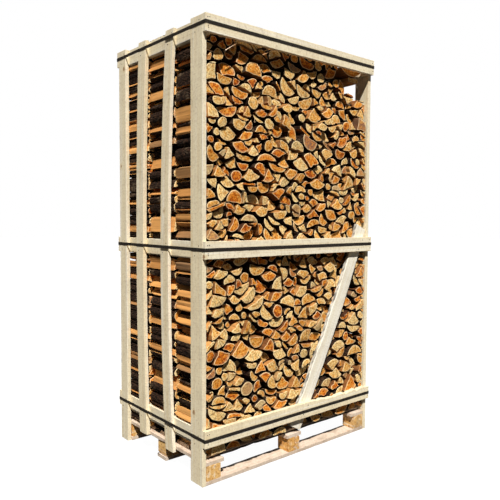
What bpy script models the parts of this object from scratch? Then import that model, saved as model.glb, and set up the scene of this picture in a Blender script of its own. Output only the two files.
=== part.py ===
"""A pallet of firewood: split logs stacked three deep in a slatted crate on a nine-block pallet.

Metres, +Z up. The origin is on the ground under the middle of the crate, the long open face
looks towards -Y, and X runs along that face. Heights are measured up from the ground, and
depths are measured back from the outer plane of the front rails.
"""

from math import atan2, cos, pi, sin
from random import Random

import bmesh
import bpy

CRATE_WIDTH = 1.130
CRATE_DEPTH = 0.795
CRATE_HEIGHT = 2.050
BOARD = 0.020
RAIL_HEIGHT = 0.077
TOUCH_GAP = 0.0003
LEVELS = ("top", "middle", "bottom")
SIDES = {"left": -1, "right": 1}
FRONT_RAIL_MIDDLES = {"top": CRATE_HEIGHT - RAIL_HEIGHT / 2, "middle": 1.049, "bottom": 0.217}
SIDE_RAIL_MIDDLES = {"top": 2.008, "middle": 1.046, "bottom": 0.201}

# The upright slats of each short side, front to back: width, foot height, and how far back the
# slat's middle is at the foot, at half height and at the top, which gives the board's own bow.
BEHIND_RAIL = BOARD + TOUCH_GAP
POST_WIDTH = 0.092
REAR_SLAT_WIDTH = 0.070
POST_MIDDLE = BEHIND_RAIL + POST_WIDTH / 2
REAR_MIDDLE = CRATE_DEPTH - BEHIND_RAIL - REAR_SLAT_WIDTH / 2
NEAR_POST = (POST_WIDTH, 0.000, POST_MIDDLE, POST_MIDDLE, POST_MIDDLE)
REAR_SLAT = (REAR_SLAT_WIDTH, 0.000, REAR_MIDDLE, REAR_MIDDLE, REAR_MIDDLE)
SLATS = {
    "left": (
        NEAR_POST,
        (0.068, 0.075, 0.300, 0.340, 0.287),
        (0.070, 0.090, 0.540, 0.566, 0.532),
        REAR_SLAT,
    ),
    "right": (
        NEAR_POST,
        (0.070, 0.085, 0.312, 0.300, 0.308),
        (0.070, 0.080, 0.545, 0.553, 0.540),
        REAR_SLAT,
    ),
}
SLAT_RINGS = 8

BRACE_LENGTH = 1.127
BRACE_WIDTH = 0.080
BRACE_FOOT_CORNER = (0.0405, 0.115)
BRACE_LEAN = atan2(0.495, 1.0)
BRACE_BOW = 0.020
BRACE_STEPS = 14
# The wane is how far the rough edge dips in, as two waves along the board, in radians a metre.
BRACE_WANE = 0.005
WANE_WAVE = 9.0
WANE_SWELL = 4.0

PALLET_BOARD = 0.018
PALLET_INSET = BEHIND_RAIL
RUNNER_WIDTH = 0.080
BLOCK_HEIGHT = 0.0694
BLOCK_LENGTH = 0.076
STRINGER_WIDTH = 0.100
BLOCK_INSET = 0.005
DECK_BOARD_WIDTH = 0.095
DECK_BOARDS = 5
DECK_INSET = 0.022
DECK_END_INSET = 0.045
BLOCK_BOTTOM = PALLET_BOARD + TOUCH_GAP
STRINGER_BOTTOM = BLOCK_BOTTOM + BLOCK_HEIGHT + TOUCH_GAP
DECK_BOTTOM = STRINGER_BOTTOM + PALLET_BOARD + TOUCH_GAP
DECK_TOP = DECK_BOTTOM + PALLET_BOARD

STRAP_HEIGHT = 0.015
STRAP_THICKNESS = 0.001
STRAP_CORNER = 0.0008
STRAP_MIDDLES = {"top": 2.014, "middle": 1.051, "bottom": 0.212}

# The stack of logs between the brace, the slats, the side rails and the pallet deck. Beside a
# side rail, and for the clearance above and below it, the stack keeps to the rail's inner face.
STACK_INSET = 2 * BOARD + 2 * TOUCH_GAP
RAIL_CLEARANCE = 0.060
STACK_BOTTOM = DECK_TOP + TOUCH_GAP
STACK_COLUMNS = 14
STACK_COURSES = 23
ROW_LENGTH = (CRATE_DEPTH - 2 * STACK_INSET - 2 * TOUCH_GAP) / 3
LOG_GAP_DEPTH = 0.042
LOG_END_SPREAD = 0.024
LOG_END_SHARES = (0.76, 0.91)
# Below a height, the log ends that keep clear of the brace come forward past its inner face.
FORWARD_REACH = 0.018
FORWARD_SPREAD = 0.030
FORWARD_TOP = 1.75
BRACE_CLEARANCE = 0.004
JITTER = 0.33
SPLIT_SHARE = 0.18
# Notches between the logs on the stack's sides and top, and the spread of their depths.
EDGE_NOTCH = 0.009
SIDE_NOTCH_SPREAD = (0.6, 1.0)
TOP_NOTCH_SPREAD = (0.6, 1.4)
# A slow wave in the courses, as a share of a course and in half turns along the crate.
COURSE_WAVE = 0.2
COURSE_WAVE_TURNS = 2.3
FIRST_WAVY_COURSE = 3
# Height of each row's top along the crate, as (share of the width, height) points.
ROW_TOPS = {
    "front": ((0.0, 1.995), (0.2, 2.006), (0.45, 1.999), (0.65, 2.007), (0.85, 1.996), (1.0, 1.990)),
    "middle": ((0.0, 1.996), (0.3, 2.006), (0.6, 1.992), (0.85, 2.002), (1.0, 1.992)),
    "back": ((0.0, 1.992), (0.25, 2.004), (0.55, 2.007), (0.8, 1.993), (1.0, 1.999)),
}
LATTICE_SEEDS = {"front": 11, "middle": 12, "back": 13}
SPLIT_SEEDS = {"front": 111, "middle": 112, "back": 113}
LOG_END_SEEDS = {"front": 211, "middle": 212, "back": 213}

SAWN_CREAM = ((0.86, 0.74, 0.52), 0.75)
BLOCK_TAN = ((0.80, 0.55, 0.27), 0.80)
RUNNER_PALE = ((0.82, 0.68, 0.50), 0.80)
LOG_ORANGE = ((0.66, 0.38, 0.14), 0.85)
STRAP_BLACK = ((0.030, 0.027, 0.024), 0.35)


def clear_scene():
    """Remove everything that the file opened with."""
    for obj in list(bpy.data.objects):
        bpy.data.objects.remove(obj, do_unlink=True)


def make_material(name, finish):
    """A plain surface of one colour and roughness."""
    colour, roughness = finish
    material = bpy.data.materials.new(name)
    material.use_nodes = True
    shader = material.node_tree.nodes["Principled BSDF"]
    shader.inputs["Base Color"].default_value = (*colour, 1.0)
    shader.inputs["Roughness"].default_value = roughness
    shader.inputs["Metallic"].default_value = 0.0
    return material


def add_object(name, bm, material, parent, location=(0.0, 0.0, 0.0)):
    """Turn a bmesh into a named object under the crate's empty."""
    bmesh.ops.recalc_face_normals(bm, faces=bm.faces)
    mesh = bpy.data.meshes.new(name)
    bm.to_mesh(mesh)
    bm.free()
    mesh.materials.append(material)
    obj = bpy.data.objects.new(name, mesh)
    obj.location = location
    obj.parent = parent
    bpy.context.scene.collection.objects.link(obj)
    return obj


def depth(distance):
    """World Y of a distance back from the front rails' outer plane."""
    return distance - CRATE_DEPTH / 2


def board(name, x_span, depth_span, z_span, material, parent):
    """A square-edged board between three pairs of limits."""
    spans = (x_span, (depth(depth_span[0]), depth(depth_span[1])), z_span)
    size = [high - low for low, high in spans]
    middle = [(low + high) / 2 for low, high in spans]
    bm = bmesh.new()
    bmesh.ops.create_cube(bm, size=1.0)
    bmesh.ops.scale(bm, vec=size, verts=bm.verts)
    return add_object(name, bm, material, parent, middle)


def around(middle, width):
    """The two limits of a width about its middle."""
    return (middle - width / 2, middle + width / 2)


def loft(bm, rings, closed=False):
    """Join rings of points with quads, and cap the ends unless the last ring meets the first."""
    loops = [[bm.verts.new(point) for point in ring] for ring in rings]
    pairs = list(zip(loops, loops[1:]))
    if closed:
        pairs.append((loops[-1], loops[0]))
    for lower, upper in pairs:
        for k in range(len(lower)):
            after = (k + 1) % len(lower)
            bm.faces.new((lower[k], lower[after], upper[after], upper[k]))
    if not closed:
        bm.faces.new(list(reversed(loops[0])))
        bm.faces.new(loops[-1])


def build_pallet(parent, board_wood, block_wood):
    """Three runners along X, nine blocks, three stringers along Y and the deck boards."""
    half = CRATE_WIDTH / 2
    inner = half - PALLET_INSET
    outer_row = PALLET_INSET + RUNNER_WIDTH / 2
    rows = {"front": outer_row, "middle": CRATE_DEPTH / 2, "back": CRATE_DEPTH - outer_row}
    stringer_x = inner - STRINGER_WIDTH / 2
    block_x = inner - BLOCK_INSET - BLOCK_LENGTH / 2
    stringers = {"left": -stringer_x, "middle": 0.0, "right": stringer_x}
    blocks = {"left": -block_x, "middle": 0.0, "right": block_x}
    for row, back in rows.items():
        board(f"pallet_runner_{row}", (-inner, inner), around(back, RUNNER_WIDTH),
              (0.0, PALLET_BOARD), board_wood, parent)
        for column, x in blocks.items():
            board(f"pallet_block_{row}_{column}", around(x, BLOCK_LENGTH), around(back, RUNNER_WIDTH),
                  (BLOCK_BOTTOM, BLOCK_BOTTOM + BLOCK_HEIGHT), block_wood, parent)
    for column, x in stringers.items():
        board(f"pallet_stringer_{column}", around(x, STRINGER_WIDTH),
              (PALLET_INSET, CRATE_DEPTH - PALLET_INSET),
              (STRINGER_BOTTOM, STRINGER_BOTTOM + PALLET_BOARD), board_wood, parent)
    first = PALLET_INSET + DECK_INSET + DECK_BOARD_WIDTH / 2
    pitch = (CRATE_DEPTH - 2 * first) / (DECK_BOARDS - 1)
    for k in range(DECK_BOARDS):
        board(f"pallet_deck_board_{k + 1}", (DECK_END_INSET - half, half - DECK_END_INSET),
              around(first + k * pitch, DECK_BOARD_WIDTH), (DECK_BOTTOM, DECK_TOP), board_wood, parent)


def bowed_middle(foot, middle, top, t):
    """The parabola through a slat's foot, middle and top, with t from 0 at the foot to 1."""
    return foot * (1 - t) * (1 - 2 * t) + 4 * middle * t * (1 - t) + top * t * (2 * t - 1)


def slat(name, side, sizes, material, parent):
    """One upright side slat, as a stack of rectangles that follows its bow."""
    width, foot_height, at_foot, at_middle, at_top = sizes
    outer = side * CRATE_WIDTH / 2
    inner = outer - side * BOARD
    rings = []
    count = 1 if at_foot == at_middle == at_top else SLAT_RINGS
    for k in range(count + 1):
        t = k / count
        near, far = around(depth(bowed_middle(at_foot, at_middle, at_top, t)), width)
        z = foot_height + t * (CRATE_HEIGHT - foot_height)
        rings.append([(outer, near, z), (outer, far, z), (inner, far, z), (inner, near, z)])
    bm = bmesh.new()
    loft(bm, rings)
    return add_object(name, bm, material, parent)


def build_crate(parent, wood):
    """Slats on both short sides, rails on all four, and a brace across each long side."""
    half = CRATE_WIDTH / 2
    for side_name, side in SIDES.items():
        for k, sizes in enumerate(SLATS[side_name]):
            slat(f"slat_{side_name}_{k + 1}", side, sizes, wood, parent)
        faces = sorted((side * (half - BEHIND_RAIL), side * (half - BEHIND_RAIL - BOARD)))
        for level in LEVELS:
            board(f"side_rail_{side_name}_{level}", faces, (BEHIND_RAIL, CRATE_DEPTH - BEHIND_RAIL),
                  around(SIDE_RAIL_MIDDLES[level], RAIL_HEIGHT), wood, parent)
    for level in LEVELS:
        heights = around(FRONT_RAIL_MIDDLES[level], RAIL_HEIGHT)
        board(f"front_rail_{level}", (-half, half), (0.0, BOARD), heights, wood, parent)
        board(f"back_rail_{level}", (-half, half), (CRATE_DEPTH - BOARD, CRATE_DEPTH), heights, wood, parent)
    build_brace("brace_front", 1, wood, parent)
    build_brace("brace_back", -1, wood, parent)


def brace_bow(s):
    """How far the brace bows away from the straight line between its ends, at a length s along it."""
    return 4 * BRACE_BOW * s * (BRACE_LENGTH - s) / BRACE_LENGTH ** 2


def build_brace(name, face, material, parent):
    """A leaning, bowed board with one waney edge, inside the rails. Face is 1 in front, -1 behind."""
    along = (sin(BRACE_LEAN), cos(BRACE_LEAN))
    across = (-cos(BRACE_LEAN), sin(BRACE_LEAN))
    sawn, waney = [], []
    for k in range(BRACE_STEPS + 1):
        s = BRACE_LENGTH * k / BRACE_STEPS
        wane = 0.0
        if 0 < k < BRACE_STEPS:
            wane = BRACE_WANE * (1 + sin(WANE_WAVE * s) * cos(WANE_SWELL * s))
        sawn.append((s, -brace_bow(s)))
        waney.append((s, BRACE_WIDTH - wane - brace_bow(s)))
    outline = sawn + list(reversed(waney))
    front = face * (BEHIND_RAIL - CRATE_DEPTH / 2)
    rings = []
    for y in (front, front + face * BOARD):
        ring = []
        for s, w in outline:
            x = BRACE_FOOT_CORNER[0] + s * along[0] + w * across[0]
            z = BRACE_FOOT_CORNER[1] + s * along[1] + w * across[1]
            ring.append((face * x, y, z))
        rings.append(ring)
    bm = bmesh.new()
    loft(bm, rings)
    return add_object(name, bm, material, parent)


def build_straps(parent, plastic):
    """A flat packing strap pulled tight round the rails at each level, with its corners eased."""
    half_x = CRATE_WIDTH / 2 + TOUCH_GAP
    half_y = CRATE_DEPTH / 2 + TOUCH_GAP
    eased = ((0.0, 1.0), (0.5, 0.5), (1.0, 0.0))
    turns = ((-1, -1, eased), (1, -1, eased[::-1]), (1, 1, eased), (-1, 1, eased[::-1]))
    for level, middle in STRAP_MIDDLES.items():
        low, high = around(middle, STRAP_HEIGHT)
        rings = []
        for sx, sy, cuts in turns:
            for cut_x, cut_y in cuts:
                x = sx * (half_x + STRAP_THICKNESS - cut_x * STRAP_CORNER)
                y = sy * (half_y + STRAP_THICKNESS - cut_y * STRAP_CORNER)
                inner_x = sx * (half_x - (cut_x > cut_y) * STRAP_CORNER)
                inner_y = sy * (half_y - (cut_y > cut_x) * STRAP_CORNER)
                inside = [(inner_x, inner_y, low), (inner_x, inner_y, high)]
                outside = [(x, y, high), (x, y, low)]
                rings.append(inside + outside)
        bm = bmesh.new()
        loft(bm, rings, closed=True)
        add_object(f"strap_{level}", bm, plastic, parent)


def top_height(points, share):
    """Height of a row's top at a share of the stack's width."""
    for (start, low), (end, high) in zip(points, points[1:]):
        if share <= end:
            return low + (high - low) * (share - start) / (end - start)
    return points[-1][1]


def side_reach(z):
    """How far out from the middle the stack reaches at a height."""
    for rail in SIDE_RAIL_MIDDLES.values():
        if abs(z - rail) < RAIL_HEIGHT / 2 + RAIL_CLEARANCE:
            return CRATE_WIDTH / 2 - STACK_INSET
    return CRATE_WIDTH / 2 - BEHIND_RAIL


def stack_lattice(row):
    """Corner points of the log ends of one row, uneven like split wood, as {(i, j): (x, z)}."""
    rng = Random(LATTICE_SEEDS[row])
    half = CRATE_WIDTH / 2 - STACK_INSET
    pitch_x = 2 * half / STACK_COLUMNS
    points = {}
    for i in range(STACK_COLUMNS + 1):
        for j in range(STACK_COURSES + 1):
            share = i / STACK_COLUMNS
            top = top_height(ROW_TOPS[row], share)
            pitch_z = (top - STACK_BOTTOM) / STACK_COURSES
            x = -half + i * pitch_x
            z = STACK_BOTTOM + j * pitch_z
            if 0 < j < STACK_COURSES:
                z += rng.uniform(-JITTER, JITTER) * pitch_z
            elif j:
                z -= rng.uniform(*TOP_NOTCH_SPREAD) * EDGE_NOTCH
            if FIRST_WAVY_COURSE <= j < STACK_COURSES - 1:
                z += COURSE_WAVE * pitch_z * sin(COURSE_WAVE_TURNS * pi * share + j)
            if 0 < i < STACK_COLUMNS:
                x += rng.uniform(-JITTER, JITTER) * pitch_x
            else:
                notch = rng.uniform(*SIDE_NOTCH_SPREAD) * EDGE_NOTCH
                x = (1 if i else -1) * (side_reach(z) - notch)
            points[i, j] = (x, z)
    return points


def border_bulge(row, lattice, a, b):
    """The outermost point of a log on the stack's edge, between the notches a and b."""
    (ax, az), (bx, bz) = lattice[a], lattice[b]
    if a[1] == b[1] == STACK_COURSES:
        share = (a[0] + b[0]) / 2 / STACK_COLUMNS
        return ((ax + bx) / 2, top_height(ROW_TOPS[row], share))
    middle = (az + bz) / 2
    return ((1 if a[0] else -1) * side_reach(middle), middle)


def log_cells(row, lattice):
    """The outline of each log end, anticlockwise in X and Z, with a bulge on the stack's edges."""
    rng = Random(SPLIT_SEEDS[row])
    cells = []
    for i in range(STACK_COLUMNS):
        for j in range(STACK_COURSES):
            keys = [(i, j), (i + 1, j), (i + 1, j + 1), (i, j + 1)]
            corners = []
            bulged = False
            for a, b in zip(keys, keys[1:] + keys[:1]):
                corners.append(lattice[a])
                on_side = a[0] == b[0] and a[0] in (0, STACK_COLUMNS)
                on_top = a[1] == b[1] == STACK_COURSES
                if on_side or on_top:
                    corners.append(border_bulge(row, lattice, a, b))
                    bulged = True
            if not bulged and rng.random() < SPLIT_SHARE:
                k = rng.randrange(2)
                cells.append([corners[k], corners[k + 1], corners[k + 2]])
                cells.append([corners[k + 2], corners[(k + 3) % 4], corners[k]])
            else:
                cells.append(corners)
    return cells


def stack_outline(row, lattice):
    """The closed outline of a row seen from the front, anticlockwise in X and Z."""
    right, top = STACK_COLUMNS, STACK_COURSES
    walk = [(i, 0) for i in range(right)]
    walk += [(right, j) for j in range(top)]
    walk += [(i, top) for i in range(right, 0, -1)]
    walk += [(0, j) for j in range(top, 0, -1)]
    outline = []
    for a, b in zip(walk, walk[1:] + walk[:1]):
        outline.append(lattice[a])
        if not a[1] == b[1] == 0:
            outline.append(border_bulge(row, lattice, a, b))
    return outline


def beside_brace(cell, face):
    """Whether a log end keeps clear of the brace. Face is 1 in front, -1 behind."""
    alongs, acrosses = [], []
    for x, z in cell:
        side = face * x - BRACE_FOOT_CORNER[0]
        up = z - BRACE_FOOT_CORNER[1]
        along = side * sin(BRACE_LEAN) + up * cos(BRACE_LEAN)
        alongs.append(along)
        acrosses.append(up * sin(BRACE_LEAN) - side * cos(BRACE_LEAN) + max(brace_bow(along), 0.0))
    past_end = min(alongs) > BRACE_LENGTH + BRACE_CLEARANCE
    past_edge = max(acrosses) < -BRACE_CLEARANCE or min(acrosses) > BRACE_WIDTH + BRACE_CLEARANCE
    return past_end or past_edge


def build_log_row(row, near, relief, material, parent):
    """One row of logs as a solid. Relief is -1 for log ends on its near face, 1 on its far face."""
    rng = Random(LOG_END_SEEDS[row])
    lattice = stack_lattice(row)
    outline = stack_outline(row, lattice)
    bm = bmesh.new()
    faces_y = [depth(near), depth(near + ROW_LENGTH)]
    if not relief:
        loft(bm, [[(x, y, z) for x, z in outline] for y in faces_y])
        return add_object(f"logs_{row}_row", bm, material, parent)
    proud = faces_y[0] if relief < 0 else faces_y[1]
    plain = faces_y[1] if relief < 0 else faces_y[0]
    groove = proud - relief * LOG_GAP_DEPTH
    shared = {}

    def groove_point(point):
        if point not in shared:
            shared[point] = bm.verts.new((point[0], groove, point[1]))
        return shared[point]

    for cell in log_cells(row, lattice):
        middle = [sum(point[axis] for point in cell) / len(cell) for axis in (0, 1)]
        forward = beside_brace(cell, -relief) and max(z for _, z in cell) < FORWARD_TOP
        reach, spread = (FORWARD_REACH, FORWARD_SPREAD) if forward else (0.0, LOG_END_SPREAD)
        end = proud + relief * (reach - rng.uniform(0.0, spread))
        share = rng.uniform(*LOG_END_SHARES)
        cap = []
        for x, z in cell:
            cap_x = middle[0] + (x - middle[0]) * share
            cap_z = middle[1] + (z - middle[1]) * share
            cap.append(bm.verts.new((cap_x, end, cap_z)))
        rim = [groove_point(point) for point in cell]
        bm.faces.new(cap)
        for k in range(len(cell)):
            after = (k + 1) % len(cell)
            bm.faces.new((rim[k], rim[after], cap[after], cap[k]))
    front_loop = [groove_point(point) for point in outline]
    back_loop = [bm.verts.new((x, plain, z)) for x, z in outline]
    for k in range(len(outline)):
        after = (k + 1) % len(outline)
        bm.faces.new((front_loop[k], front_loop[after], back_loop[after], back_loop[k]))
    bm.faces.new(back_loop)
    return add_object(f"logs_{row}_row", bm, material, parent)


def build_firewood(parent, wood):
    """Three rows of logs, one behind another, with the log ends raised on both open faces."""
    step = ROW_LENGTH + TOUCH_GAP
    for k, (row, relief) in enumerate((("front", -1), ("middle", 0), ("back", 1))):
        build_log_row(row, STACK_INSET + k * step, relief, wood, parent)


def main():
    clear_scene()
    crate = bpy.data.objects.new("firewood_crate", None)
    bpy.context.scene.collection.objects.link(crate)
    sawn = make_material("sawn_board", SAWN_CREAM)
    pale = make_material("pallet_board", RUNNER_PALE)
    tan = make_material("pallet_block", BLOCK_TAN)
    orange = make_material("split_log", LOG_ORANGE)
    black = make_material("packing_strap", STRAP_BLACK)
    build_pallet(crate, pale, tan)
    build_crate(crate, sawn)
    build_firewood(crate, orange)
    build_straps(crate, black)


main()
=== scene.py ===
"""The looks of a pallet of firewood, in metres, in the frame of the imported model.

The origin is on the ground under the middle of the crate, the long open front looks towards -Y
and +Z is up. Every wooden piece takes the place of its CAD node and stays inside it: the boards
are rough-sawn, and each row of logs is made of separate split logs, stacked one on another.
"""

import logging
from collections.abc import Sequence
from dataclasses import dataclass, field
from enum import Enum
from math import cos, pi, radians, sin, sqrt
from typing import Any

import bpy
import numpy as np
from mathutils import Matrix, Vector


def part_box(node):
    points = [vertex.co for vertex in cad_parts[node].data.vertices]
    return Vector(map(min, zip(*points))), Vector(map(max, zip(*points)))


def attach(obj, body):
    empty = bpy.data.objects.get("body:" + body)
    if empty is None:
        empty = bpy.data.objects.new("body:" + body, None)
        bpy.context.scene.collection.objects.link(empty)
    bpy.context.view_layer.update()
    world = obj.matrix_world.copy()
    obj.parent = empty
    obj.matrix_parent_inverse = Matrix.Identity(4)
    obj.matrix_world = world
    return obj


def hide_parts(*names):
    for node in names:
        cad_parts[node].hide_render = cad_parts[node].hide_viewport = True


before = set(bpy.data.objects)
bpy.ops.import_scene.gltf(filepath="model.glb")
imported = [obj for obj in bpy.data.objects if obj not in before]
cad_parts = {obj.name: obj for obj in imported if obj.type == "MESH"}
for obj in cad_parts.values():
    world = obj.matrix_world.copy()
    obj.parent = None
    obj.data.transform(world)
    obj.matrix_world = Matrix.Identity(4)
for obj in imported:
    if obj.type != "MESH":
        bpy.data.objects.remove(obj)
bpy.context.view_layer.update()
log = logging.getLogger("firewood")

Colour = tuple[float, float, float, float]
Point = tuple[float, float, float]
Pair = tuple[float, float]
Face = tuple[int, ...]
Chance = np.random.Generator
Array = np.ndarray
Piece = bpy.types.Object
Material = bpy.types.Material
Node = bpy.types.Node
Socket = bpy.types.NodeSocket
SMOOTH_ANGLE = radians(32)
BOARD_ANGLE = radians(14)


def srgb(red: int, green: int, blue: int) -> Colour:
    """Linear colour of an sRGB one whose channels run from 0 to 255."""
    channels = [value / 255 for value in (red, green, blue)]
    linear = [v / 12.92 if v <= 0.04045 else ((v + 0.055) / 1.055) ** 2.4 for v in channels]
    return (linear[0], linear[1], linear[2], 1.0)


class Shade:
    """Writes the nodes of one procedural material."""

    def __init__(self, name: str) -> None:
        """Start a material with its Principled shader.

        Args:
            name: The material's name.
        """
        self.material = bpy.data.materials.new(name)
        self.material.use_nodes = True
        self.tree = self.material.node_tree
        self.shader = self.tree.nodes["Principled BSDF"]

    def feed(self, socket: Socket, value: Any) -> None:
        """Link a socket into another, or set its value."""
        if isinstance(value, Socket):
            self.tree.links.new(value, socket)
        else:
            socket.default_value = value

    def node(self, kind: str, inputs: dict[str | int, Any] | None = None, **settings: Any) -> Node:
        """Add one node.

        Args:
            kind: The node's type without its prefix.
            inputs: Values or sockets by the input's name or number.
            settings: Properties of the node.

        Returns:
            The new node.
        """
        node = self.tree.nodes.new(f"ShaderNode{kind}")
        for key, value in settings.items():
            setattr(node, key, value)
        for key, value in (inputs or {}).items():
            self.feed(node.inputs[key], value)
        return node

    def attribute(self, name: str) -> Socket:
        """A vector or colour stored on the piece."""
        return self.node("Attribute", attribute_name=name).outputs["Vector"]

    def place(self) -> Socket:
        """The place on the piece, in metres."""
        return self.node("TexCoord").outputs["Object"]

    def split(self, vector: Any) -> tuple[Socket, ...]:
        """The three parts of a vector."""
        return tuple(self.node("SeparateXYZ", {0: vector}).outputs)

    def join(self, x: Any, y: Any, z: Any) -> Socket:
        """A vector from its three parts."""
        return self.node("CombineXYZ", {0: x, 1: y, 2: z}).outputs[0]

    def math(self, operation: str, a: Any, b: Any = 0.0, clamp: bool = False) -> Socket:
        """One sum on one or two numbers."""
        return self.node("Math", {0: a, 1: b}, operation=operation, use_clamp=clamp).outputs[0]

    def times(self, a: Any, b: Any) -> Socket:
        """One number times another."""
        return self.math("MULTIPLY", a, b)

    def plus(self, a: Any, b: Any, clamp: bool = False) -> Socket:
        """One number plus another."""
        return self.math("ADD", a, b, clamp)

    def scaled(self, vector: Any, factors: Point) -> Socket:
        """A vector with each part multiplied."""
        return self.node("VectorMath", {0: vector, 1: factors}, operation="MULTIPLY").outputs[0]

    def moved(self, vector: Any, by: Any) -> Socket:
        """A vector with another added."""
        return self.node("VectorMath", {0: vector, 1: by}, operation="ADD").outputs[0]

    def noise(self, vector: Any, scale: float, detail: float = 2.0, rough: float = 0.5) -> Socket:
        """Soft noise from 0 to 1."""
        inputs = {"Vector": vector, "Scale": scale, "Detail": detail, "Roughness": rough}
        return self.node("TexNoise", inputs).outputs["Fac"]

    def cells(self, vector: Any, scale: float, feature: str = "F1") -> Node:
        """Cells about scattered points."""
        return self.node("TexVoronoi", {"Vector": vector, "Scale": scale}, feature=feature)

    def span(self, value: Any, low: float, high: float, to_low: float = 0.0, to_high: float = 1.0) -> Socket:
        """A value carried smoothly from one range to another, and held at its ends."""
        inputs = {0: value, 1: low, 2: high, 3: to_low, 4: to_high}
        return self.node("MapRange", inputs, interpolation_type="SMOOTHSTEP").outputs[0]

    def mix(self, share: Any, first: Any, second: Any, blend: str = "MIX") -> Socket:
        """Two colours mixed by a share from 0 to 1."""
        inputs = {0: share, 6: first, 7: second}
        return self.node("Mix", inputs, data_type="RGBA", blend_type=blend).outputs[2]

    def ramp(self, value: Any, stops: Sequence[tuple[float, Colour]]) -> Socket:
        """A colour looked up along a ramp.

        Args:
            value: Where on the ramp, from 0 to 1.
            stops: Pairs of place and colour.

        Returns:
            The colour's socket.
        """
        node = self.node("ValToRGB", {0: value})
        elements = node.color_ramp.elements
        while len(elements) < len(stops):
            elements.new(0.5)
        for element, (place, colour) in zip(elements, stops):
            element.position = place
            element.color = colour
        return node.outputs[0]

    def bump(self, height: Any, depth: float, strength: float = 1.0, under: Any = None) -> Socket:
        """A normal bent by a height, whose full swing is so deep in metres."""
        inputs = {"Height": height, "Distance": depth, "Strength": strength}
        if under is not None:
            inputs["Normal"] = under
        return self.node("Bump", inputs).outputs[0]

    def finish(self, colour: Any, roughness: Any, normal: Any = None, specular: float = 0.3) -> Material:
        """Join the last nodes to the shader.

        Args:
            colour: The base colour.
            roughness: The roughness.
            normal: The bent normal, where there is one.
            specular: How strongly the surface mirrors light.

        Returns:
            The finished material.
        """
        self.feed(self.shader.inputs["Base Color"], colour)
        self.feed(self.shader.inputs["Roughness"], roughness)
        self.shader.inputs["Specular IOR Level"].default_value = specular
        if normal is not None:
            self.feed(self.shader.inputs["Normal"], normal)
        return self.material


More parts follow.
